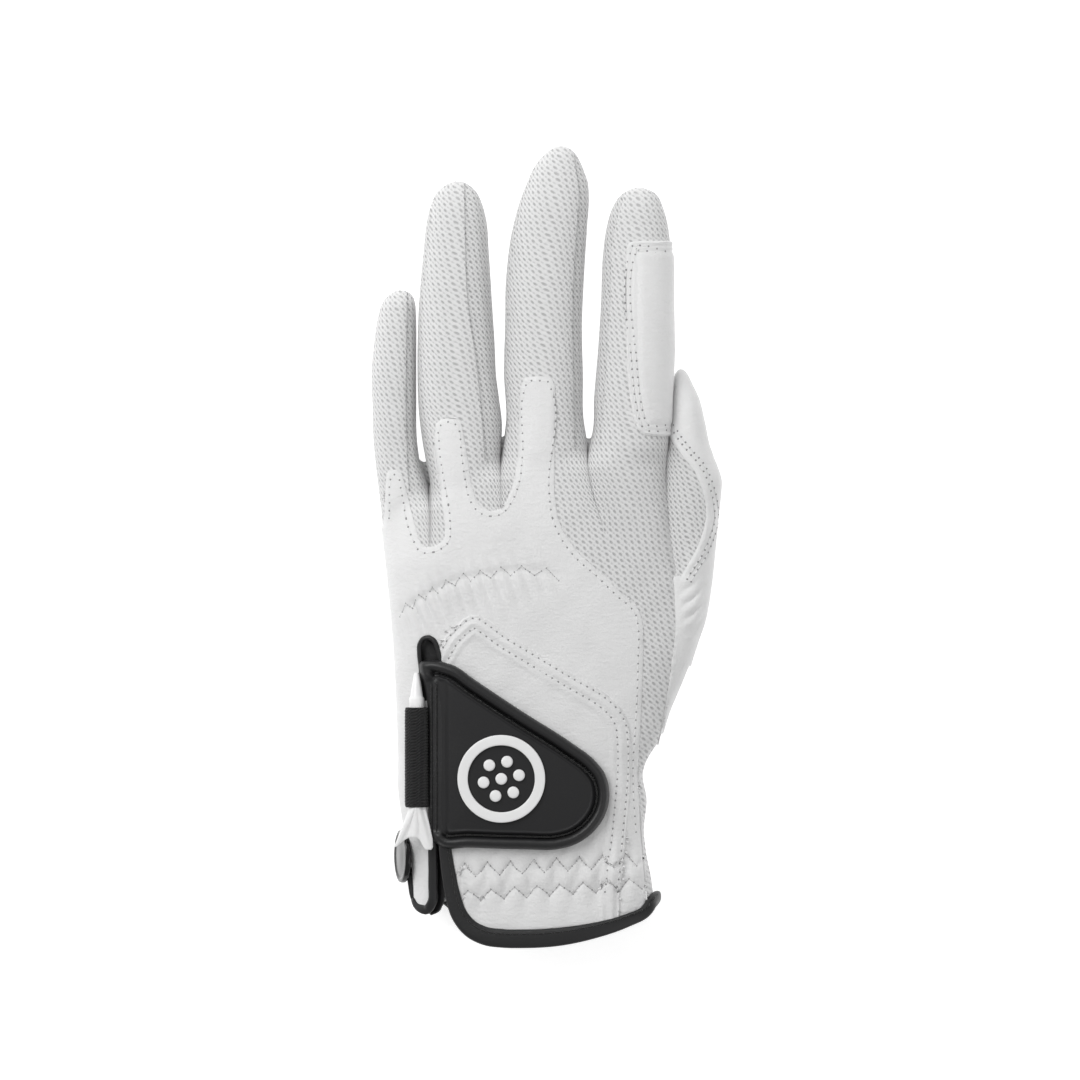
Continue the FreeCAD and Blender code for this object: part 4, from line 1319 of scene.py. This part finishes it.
def tab_profile(inside):
    """Height of the tab over the hand against the distance in from its edge: a rolled edge, a sewn groove, a
    thin lip, and a crowned panel. Beside it, the height of the sewn side on the left, which has no roll."""
    roll = sizes().roll
    half = roll / 2
    round_edge = 2.0 + 3.0 * np.sqrt(np.maximum(1 - ((inside - half) / half) ** 2, 0)) ** 0.9
    rise = sizes().tab_rise
    panel = rise + 0.75 * (1 - np.exp(-np.maximum(inside - roll, 0) / 7))
    groove = -1.25 * np.exp(-((inside - roll - 0.55) / 0.5) ** 2)
    lip = 0.3 * np.exp(-((inside - roll - 1.55) / 0.32) ** 2)
    rolled = np.where(inside < roll, np.maximum(round_edge, 2.0 + 0.9 * ease(inside / 0.4)),
        panel + groove + lip)
    plain = 2.0 + (rise - 2.4) * ease(inside / 0.8) ** 0.5
    return rolled, plain


class GLOVE_OT_closure_tab(bpy.types.Operator):
    """Padded closure tab with its rolled edge, sewing, backing and hook strip"""
    bl_idname = "glove.closure_tab"
    bl_label = "Closure tab"

    def execute(self, context):
        edge = smooth_line(TAB_EDGE, 0.55, closed=True)
        centre = np.array([-12.0, -70.0])
        near = 1 - 0.30 * np.linspace(0, 1, 46) ** 1.15
        scale = np.concatenate([near, np.linspace(near[-1], 0.004, 34)[1:]])
        plan = centre + (edge[None] - centre) * scale[:, None, None]
        inside = np.maximum(-plan_distance(plan, edge), 0)
        inside[0] = 0
        x, y = plan[..., 0], plan[..., 1]
        ground = hand_height(x, y)
        rolled, plain = tab_profile(inside)
        left = 1 - ease((x + 30.2) / 1.6)
        at_left = left * (1 - ease((y + 40.6) / 1.6)) * ease((y + 86.6) / 1.4)
        high = ground + rolled * (1 - at_left) + plain * at_left
        rows = np.exp(-((x + 33.1) / 0.4) ** 2) + np.exp(-((x + 31.75) / 0.4) ** 2)
        high = high - 0.42 * rows * ease((inside - 4.2) / 0.8)
        low = ground + 1.9
        count, sides = plan.shape[:2]
        top = np.stack([x, y, high], axis=-1).reshape(-1, 3)
        bottom = np.stack([x, y, low], axis=-1).reshape(-1, 3)
        number = np.arange(count * sides).reshape(count, sides)
        turned = np.roll(number, -1, axis=1)
        cells = np.stack([number[:-1], number[1:], turned[1:], turned[:-1]], axis=-1).reshape(-1, 4)
        total = count * sides
        rim = np.stack([number[0], turned[0], turned[0] + total, number[0] + total], axis=1)
        flip = edge_turns_left(edge)
        upper, under = (cells[:, ::-1], cells) if flip else (cells, cells[:, ::-1])
        quads = np.concatenate([upper, under + total, rim[:, ::-1] if flip else rim])
        middle_top = np.stack([turned[-1], number[-1], np.full(sides, 2 * total)], axis=1)
        middle_low = np.stack([number[-1] + total, turned[-1] + total, np.full(sides, 2 * total + 1)], axis=1)
        caps = np.concatenate([middle_top, middle_low])
        caps = caps[:, ::-1] if not flip else caps
        ends = np.array([[*centre, float(high[-1].mean())], [*centre, float(low[-1].mean())]])
        points = np.concatenate([top, bottom, ends])
        flat = points[:, :2]
        piece = make_piece("closure_tab_pad", points, quads, caps, flat, material("tab"), sharp=1.1)
        piece.data.materials.append(material("tape"))
        place = np.empty(len(piece.data.polygons) * 3, np.float32)
        piece.data.polygons.foreach_get("center", place)
        place = place.reshape(-1, 3)[:, :2] / MM
        rim_face = -edge_distance(place, edge)[0] < sizes().roll + 0.35
        rim_face &= ~((place[:, 0] < -33.6) & (place[:, 1] < -38.6) & (place[:, 1] > -86.5))
        piece.data.polygons.foreach_set("material_index", rim_face.astype(np.int32))
        piece.data.update()
        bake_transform(piece)
        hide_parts("tab_cover", "tab_foam", "tab_binding", "tab_anchor", "tab_backing")
        seam = smooth_line(TAB_EDGE, 0.3, closed=True)
        side = 1 if flip else -1
        seam = moved_sideways(seam, side * (sizes().roll + 0.55))
        keep = ~((seam[:, 0] < -29.4) & (seam[:, 1] > -87) & (seam[:, 1] < -39.2))
        keep &= edge_distance(seam, edge)[0] < -sizes().roll
        first = np.flatnonzero(keep & ~np.roll(keep, 1))[0]
        seam = np.roll(seam, -first, axis=0)[: int(keep.sum())]
        free = seam[seam[:, 0] > TAB_FOLD[1]]
        sew("closure_tab_seam", "closure_tab", "tab_leather", [free], hand_height, sizes().tab_rise - 0.55,
            finishes=("black_thread", "dark_hole"), pitch=2.5, thread=(2.0, 0.26, 0.2))
        rows = [np.array([(x_row, -41.4), (x_row, -84.6)]) for x_row in (-33.1, -31.75)]
        for number_of, row in enumerate(rows):
            made = stitches(row, hand_height, sizes().tab_rise - 0.15, pitch=2.3, thread=(1.7, 0.22, 0.2))
            piece = make_piece(f"fold_seam_{number_of}_thread", *joined(made),
                material=material("black_thread"), sharp=3.0)
            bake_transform(piece)
        hook = centre + (edge - centre) * 0.84
        x_low = np.maximum(hook[:, 0], -27.5)
        ring = np.stack([x_low, hook[:, 1]], axis=1)
        scale = np.linspace(1, 0.02, 40)
        plan = ring.mean(axis=0) + (ring[None] - ring.mean(axis=0)) * scale[:, None, None]
        loops = np.concatenate([plan, plan[:, :1]], axis=1)
        z = hand_height(loops[..., 0], loops[..., 1]) + 1.5
        grid = np.concatenate([loops, z[..., None]], axis=-1)
        piece = make_sheet("hook_strip", grid, loops, material("hooks"), 0.7,
            flip=bool(grid_normals(grid)[5, 5, 2] > 0))
        finish(piece, "closure_tab", "hook_fabric", "hook_patch")
        return {"FINISHED"}


def edge_turns_left(edge):
    """Whether a closed plan line runs anticlockwise."""
    following = np.roll(edge, -1, axis=0)
    return float((edge[:, 0] * following[:, 1] - following[:, 0] * edge[:, 1]).sum()) > 0


class GLOVE_OT_emblem(bpy.types.Operator):
    """Plain raised rubber ring with seven round dots"""
    bl_idname = "glove.emblem"
    bl_label = "Emblem"

    def execute(self, context):
        x0, y0, radius, band = EMBLEM
        turn = np.linspace(0, 2 * np.pi, 180, endpoint=False)
        middle = radius - band / 2
        line = np.stack([x0 + middle * np.cos(turn), y0 + middle * np.sin(turn)], axis=1)
        level = hand_height(line[:, 0], line[:, 1]) + sizes().tab_rise + 0.95
        line = np.concatenate([line, level[:, None]], axis=1)
        inward = np.stack([-np.cos(turn), -np.sin(turn), 0 * turn], axis=1)
        parts = [tube(line, inward, oval(band / 2, 0.55, 5.0, 24), closed=True)[:3]]
        dots = [(0.0, 0.0)] + [(5.4 * math.cos(a), 5.4 * math.sin(a)) for a in np.arange(6) * math.pi / 3 + 0.2]
        for dx, dy in dots:
            z = float(hand_height(x0 + dx, y0 + dy)) + sizes().tab_rise + 0.55
            parts.append(lathe([(1.75, 0), (1.75, 0.6), (1.6, 0.85), (1.2, 0.95), (0.5, 1.0)],
                (x0 + dx, y0 + dy, z), (0, 0, 1), 32))
        piece = make_piece("emblem_ring", *joined(parts), material=material("rubber"), sharp=0.9)
        finish(piece, "closure_tab", "emblem_rubber", "tab_emblem")
        return {"FINISHED"}


class GLOVE_OT_bindings(bpy.types.Operator):
    """Black tape round the cuff, the flap, the wrist opening and its keyhole"""
    bl_idname = "glove.bindings"
    bl_label = "Bindings"

    def execute(self, context):
        cuff = smooth_line([(-30.8, -60)] + CUFF_LINE, 0.7)
        top = np.concatenate([cuff, (hand_height(cuff[:, 0], cuff[:, 1]) + 1.3)[:, None]], axis=1)
        flap = smooth_line(FLAP_LINE + [(-33.6, -60)], 0.7)
        flap_top = np.concatenate([flap, (back_height(flap[:, 0], flap[:, 1]) + 0.4)[:, None]], axis=1)
        palm = [(33.6, -105.4, 10.4), (32.4, -107.6, 4.4), (28, -111.4, 1.9), (14, -116.4, 1.4),
            (-6, -118.2, 1.4),
                (-21, -114.8, 1.4), (-27, -109.4, 1.6), (-33, -104.6, 1.9), (-38.0, -101.6, 3.6),
                (-40.4, -98.6, 8.8)]
        knots = np.concatenate([top[:-2], np.array(palm, float), flap_top[3:]])
        line = smooth_line(knots, 0.7)
        along = np.gradient(line[:, :2], axis=0)
        along /= np.linalg.norm(along, axis=1, keepdims=True)
        on_back = np.zeros(len(line))
        on_back[:len(top) - 1] = 1
        on_back[-len(flap_top) + 4:] = 1
        soft = np.full(13, 1 / 13)
        on_back = np.convolve(np.pad(on_back, 6, mode="edge"), soft, mode="valid")
        inward = np.zeros_like(line)
        inward[:, 0] = -along[:, 1] * on_back
        inward[:, 1] = along[:, 0] * on_back + 1 - on_back
        first_half = np.linspace(0, 1, len(line)) < 0.5
        broad = through([(-118, 2.85), (-111, 2.5), (-105, 2.35), (-84, 1.65)],
            line[:, 1]) * (1 - 0.25 * ease(line[:, 0] / 30))
        broad = np.where(first_half & (line[:, 2] > 9), broad, 1.45)
        broad = np.convolve(np.pad(broad, 4, mode="edge"), np.full(9, 1 / 9), mode="valid")
        taper = np.stack([broad, 1 - 0.3 * ease((-line[:, 0] - 34) / 2)], axis=1)
        points, quads, triangles, flat = tube(line, inward, oval(1, 1.15, 2.8, 20), taper=taper)
        piece = make_piece("cuff_tape", points, quads, triangles, flat, material("tape"), sharp=1.2)
        finish(piece, "hand", "black_binding", "cuff_binding")
        seam = moved_sideways(smooth_line([(-30.6, -80)] + CUFF_LINE, 0.4), 1.4)
        made = stitches(seam, hand_height, 2.42, pitch=2.5, thread=(1.9, 0.26, 0.16), hole=(0.5, 0.24, 0.1))
        piece = make_piece("cuff_tape_seam", *joined(made), material=material("black_thread"), sharp=3.0)
        finish(piece, "hand", "black_binding")
        ring = smooth_line(KEYHOLE, 0.4)
        level = hand_height(ring[:, 0], ring[:, 1]) + 0.6
        line = np.concatenate([ring, level[:, None]], axis=1)
        points, quads, triangles, flat = tube(line, (0.0, 0.0, 1.0), oval(0.95, 0.75, 2.2, 14))
        piece = make_piece("keyhole_tape", points, quads, triangles, flat, material("tape"), sharp=1.2)
        finish(piece, "hand", "black_binding", "slit_binding")
        # A black sheet under the wrist opening: painted shade inside the opening.
        y_strip = np.concatenate([np.linspace(-110.3, -104, 24)[:-1], np.linspace(-104, -28.0, 150)])[:, None]
        across = np.linspace(-1, 1, 13)[None, :]
        left = through([(-110.3, -35.4), (-109, -36.4), (-100, -36.0), (-40, -37.0), (-31, -37.4),
            (-28, -36.0)], y_strip)
        right = through([(-110.3, -34.6), (-109.6, -32.6), (-108, -31.2), (-105, -30.3), (-98, -29.9),
            (-86, -30.6),
                         (-40, -31.0), (-32, -32.0), (-28, -34.2)], y_strip)
        x_strip = (left + right) / 2 + (right - left) / 2 * across
        z_strip = hand_height(x_strip, y_strip + 0 * x_strip) - 1.3 - 0.5 * (1 - across ** 2)
        grid = np.stack([x_strip, y_strip + 0 * x_strip, z_strip], axis=-1)
        piece = make_sheet("opening_lining", grid, grid[..., :2], material("tape"), 0.6)
        finish(piece, "hand", "black_binding")
        return {"FINISHED"}


class GLOVE_OT_tee(bpy.types.Operator):
    """Elastic loop, and the golf tee in it"""
    bl_idname = "glove.tee"
    bl_label = "Tee and loop"

    def execute(self, context):
        x0, z0 = TEE_LINE
        y = np.linspace(LOOP_ENDS[0], LOOP_ENDS[1], 150)
        turn = np.linspace(0, 2 * np.pi, 72, endpoint=False)
        shares = np.clip(np.minimum(y - LOOP_ENDS[0], LOOP_ENDS[1] - y) / 1.2, 0, 1)
        swell = 3.15 + 0.3 * np.sqrt(shares) + 0.1 * np.cos(2 * np.pi * y / 0.9) * shares
        outer = np.stack(np.broadcast_arrays(
            x0 + (swell[:, None] + 0.1) * power(np.cos(turn), 0.8)[None, :],
            y[:, None], z0 - 0.3 + 0.86 * swell[:, None] * power(np.sin(turn), 0.8)[None, :]), axis=-1)
        inner = np.stack(np.broadcast_arrays(
            x0 + 2.75 * np.cos(turn)[None, :], y[:, None], z0 + 2.3 * np.sin(turn)[None, :]), axis=-1)
        rows, sides = outer.shape[:2]
        number = np.arange(rows * sides).reshape(rows, sides)
        turned = np.roll(number, -1, axis=1)
        cells = np.stack([number[:-1], number[1:], turned[1:], turned[:-1]], axis=-1).reshape(-1, 4)
        total = rows * sides
        rims = np.concatenate([
            np.stack([number[0], turned[0], turned[0] + total, number[0] + total], axis=1),
            np.stack([turned[-1], number[-1], number[-1] + total, turned[-1] + total], axis=1)])
        quads = np.concatenate([cells, cells[:, ::-1] + total, rims])
        flat = np.stack(np.broadcast_arrays((turn * 3.4)[None, :], y[:, None]), axis=-1).reshape(-1, 2)
        points = np.concatenate([outer.reshape(-1, 3), inner.reshape(-1, 3)])
        piece = make_piece("tee_loop_elastic", points, quads, None, np.concatenate([flat, flat]),
            material("black_elastic"), sharp=1.0)
        finish(piece, "hand", "black_elastic", "tee_loop")
        profile = [
            (0.15, 0), (0.62, 0.12), (0.8, 0.4), (1.35, 3.6), (1.86, 6.9), (1.95, 7.3), (2.18, 7.5),
            (2.26, 7.9),
            (2.2, 10.2), (2.05, 10.8), (1.95, 11.2), (1.95, 40.2), (1.6, 42.4), (0.3, 43.4),
        ]
        parts = [lathe(profile, (x0, -37.95, z0), (0, -1, 0), 56)]
        x, y = np.meshgrid(np.linspace(-46, -33, 75), np.linspace(-91.4, -76.4, 85))
        rise = 0 * x
        for tip_x, tip_y in ((-44.6, -89.6), (-39.4, -87.6), (-34.9, -90.4)):
            line_x = x0 + (tip_x - x0) * np.clip((y + 77) / (tip_y + 77), 0, 1)
            rise = np.maximum(rise, np.exp(-((x - line_x) / 0.95) ** 2))
        down = np.clip((-77 - y) / 13, 0, 1)
        level = z0 + 0.7 + 1.15 * rise * (1 - 0.45 * down) - 0.7 * down * np.abs(x - x0) / 6
        grid = np.stack([x, y, level], axis=-1)
        head, _, used, _ = clipped(grid, grid[..., :2], TEE_HEAD, 0.4, edge=0.5)
        blades = sheet_faces(head, 2.6, used)
        half = len(blades[0]) // 2
        blades[0][half:] = blades[0][:half]
        blades[0][half:, 2] = z0 - 1.1
        parts.append(blades)
        piece = make_piece("golf_tee_body", *joined(parts), material=material("plastic"), sharp=0.9)
        finish(piece, "tee", "white_plastic", "golf_tee")
        return {"FINISHED"}


class GLOVE_OT_marker(bpy.types.Operator):
    """Round metal ball marker and the magnet it sits on"""
    bl_idname = "glove.marker"
    bl_label = "Ball marker"

    def execute(self, context):
        x, y, z, radius, thick = MARKER
        profile = [
            (0.05, 0.0), (radius - 0.7, 0.0), (radius - 0.25, 0.1), (radius, 0.45), (radius, thick - 0.5),
            (radius - 0.25, thick - 0.12),
            (radius - 0.75, thick), (radius - 1.3, thick - 0.05), (radius - 1.7, thick - 0.3),
            (radius - 2.2, thick - 0.32),
            (radius * 0.4, thick - 0.18), (0.05, thick - 0.1),
        ]
        piece = make_piece("ball_marker_disc", *lathe(profile, (x, y, z), MARKER_OUT, 96),
            material=material("chrome"), sharp=0.6)
        finish(piece, "marker", "marker_metal", "ball_marker")
        out = np.array(MARKER_OUT) / np.linalg.norm(MARKER_OUT)
        base = np.array([x, y, z]) - out * 3.1
        magnet = lathe([(0.05, 0), (3.6, 0), (3.95, 0.3), (3.95, 2.2), (3.6, 2.5), (0.05, 2.5)], base,
            MARKER_OUT, 48)
        finish(make_piece("marker_magnet", *magnet, material=material("steel"), sharp=0.6), "hand",
            "magnet_steel", "marker_stud")
        return {"FINISHED"}


class GLOVE_OT_elastics(bpy.types.Operator):
    """Elastic tapes sewn to the inside of the glove"""
    bl_idname = "glove.elastics"
    bl_label = "Elastic tapes"

    def execute(self, context):
        for name, x0, x1, y0, y1, top in ELASTICS:
            x, y = np.meshgrid(np.linspace(x0, x1, 110), np.linspace(y0, y1, 21))
            if top:
                z = back_height(x, y) - sizes().wall - 0.75
            else:
                z = hand_height(x, y, False) + sizes().wall + 0.9
            grid = np.stack([x, y, z], axis=-1)
            piece = make_sheet(f"{name}_tape", grid, grid[..., :2], material("elastic"), 0.6)
            finish(piece, "hand", "elastic", name)
        return {"FINISHED"}


class GLOVE_OT_studio(bpy.types.Operator):
    """Pale floor, soft lights and the camera"""
    bl_idname = "glove.studio"
    bl_label = "Studio"

    def execute(self, context):
        scene = bpy.context.scene
        mesh = bpy.data.meshes.new("floor")
        mesh.from_pydata([(-3, -3, 0), (3, -3, 0), (3, 3, 0), (-3, 3, 0)], [], [(0, 1, 2, 3)])
        floor = bpy.data.objects.new("floor", mesh)
        scene.collection.objects.link(floor)
        mesh.materials.append(material("floor"))
        world = bpy.data.worlds.new("studio")
        scene.world = world
        world.use_nodes = True
        background = world.node_tree.nodes["Background"]
        background.inputs["Color"].default_value = (1, 1, 1, 1)
        background.inputs["Strength"].default_value = 0.40
        for name, place, size, energy in (
            ("key", (-0.5, 0.42, 0.72), 0.6, 5.4), ("fill", (0.7, -0.4, 0.9), 1.0, 2.0),
            ("rim", (0.1, 0.9, 0.5), 0.5, 1.2),
        ):
            light = bpy.data.lights.new(name, "AREA")
            light.size = size
            light.energy = energy
            lamp = bpy.data.objects.new(name, light)
            lamp.location = place
            lamp.rotation_euler = (-Vector(place)).to_track_quat("-Z", "Y").to_euler()
            scene.collection.objects.link(lamp)
        camera = bpy.data.objects.new("camera", bpy.data.cameras.new("camera"))
        camera.data.lens = 300
        camera.data.sensor_width = 36
        camera.location = (-0.00165, 0.00165, 2.714)
        scene.collection.objects.link(camera)
        scene.camera = camera
        scene.view_settings.view_transform = "Standard"
        return {"FINISHED"}


OPERATORS = (
    GLOVE_OT_fingers, GLOVE_OT_hand, GLOVE_OT_webs, GLOVE_OT_thumb, GLOVE_OT_loop_patch, GLOVE_OT_seams,
    GLOVE_OT_closure_tab, GLOVE_OT_emblem, GLOVE_OT_bindings, GLOVE_OT_tee, GLOVE_OT_marker, GLOVE_OT_elastics,
    GLOVE_OT_studio,
)


class GLOVE_PT_panel(bpy.types.Panel):
    """The glove's pieces, sizes and colours"""
    bl_idname = "GLOVE_PT_panel"
    bl_label = "Golf glove"
    bl_space_type = "VIEW_3D"
    bl_region_type = "UI"
    bl_category = "Glove"

    def draw(self, context):
        for group in (context.scene.glove_sizes, context.scene.glove_colours):
            for name in group.__annotations__:
                self.layout.prop(group, name)
        for operator in OPERATORS:
            self.layout.operator(operator.bl_idname)


CLASSES = (GloveSizes, GloveColours, *OPERATORS, GLOVE_PT_panel)


def register():
    """Adds the classes and the panel's values."""
    for item in CLASSES:
        bpy.utils.register_class(item)
    bpy.types.Scene.glove_sizes = bpy.props.PointerProperty(type=GloveSizes)
    bpy.types.Scene.glove_colours = bpy.props.PointerProperty(type=GloveColours)


def unregister():
    """Takes them out again."""
    del bpy.types.Scene.glove_colours
    del bpy.types.Scene.glove_sizes
    for item in reversed(CLASSES):
        bpy.utils.unregister_class(item)


def main():
    """Registers the classes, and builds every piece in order."""
    register()
    for operator in OPERATORS:
        group, name = operator.bl_idname.split(".")
        getattr(getattr(bpy.ops, group), name)()


if __name__ == "__main__":
    main()
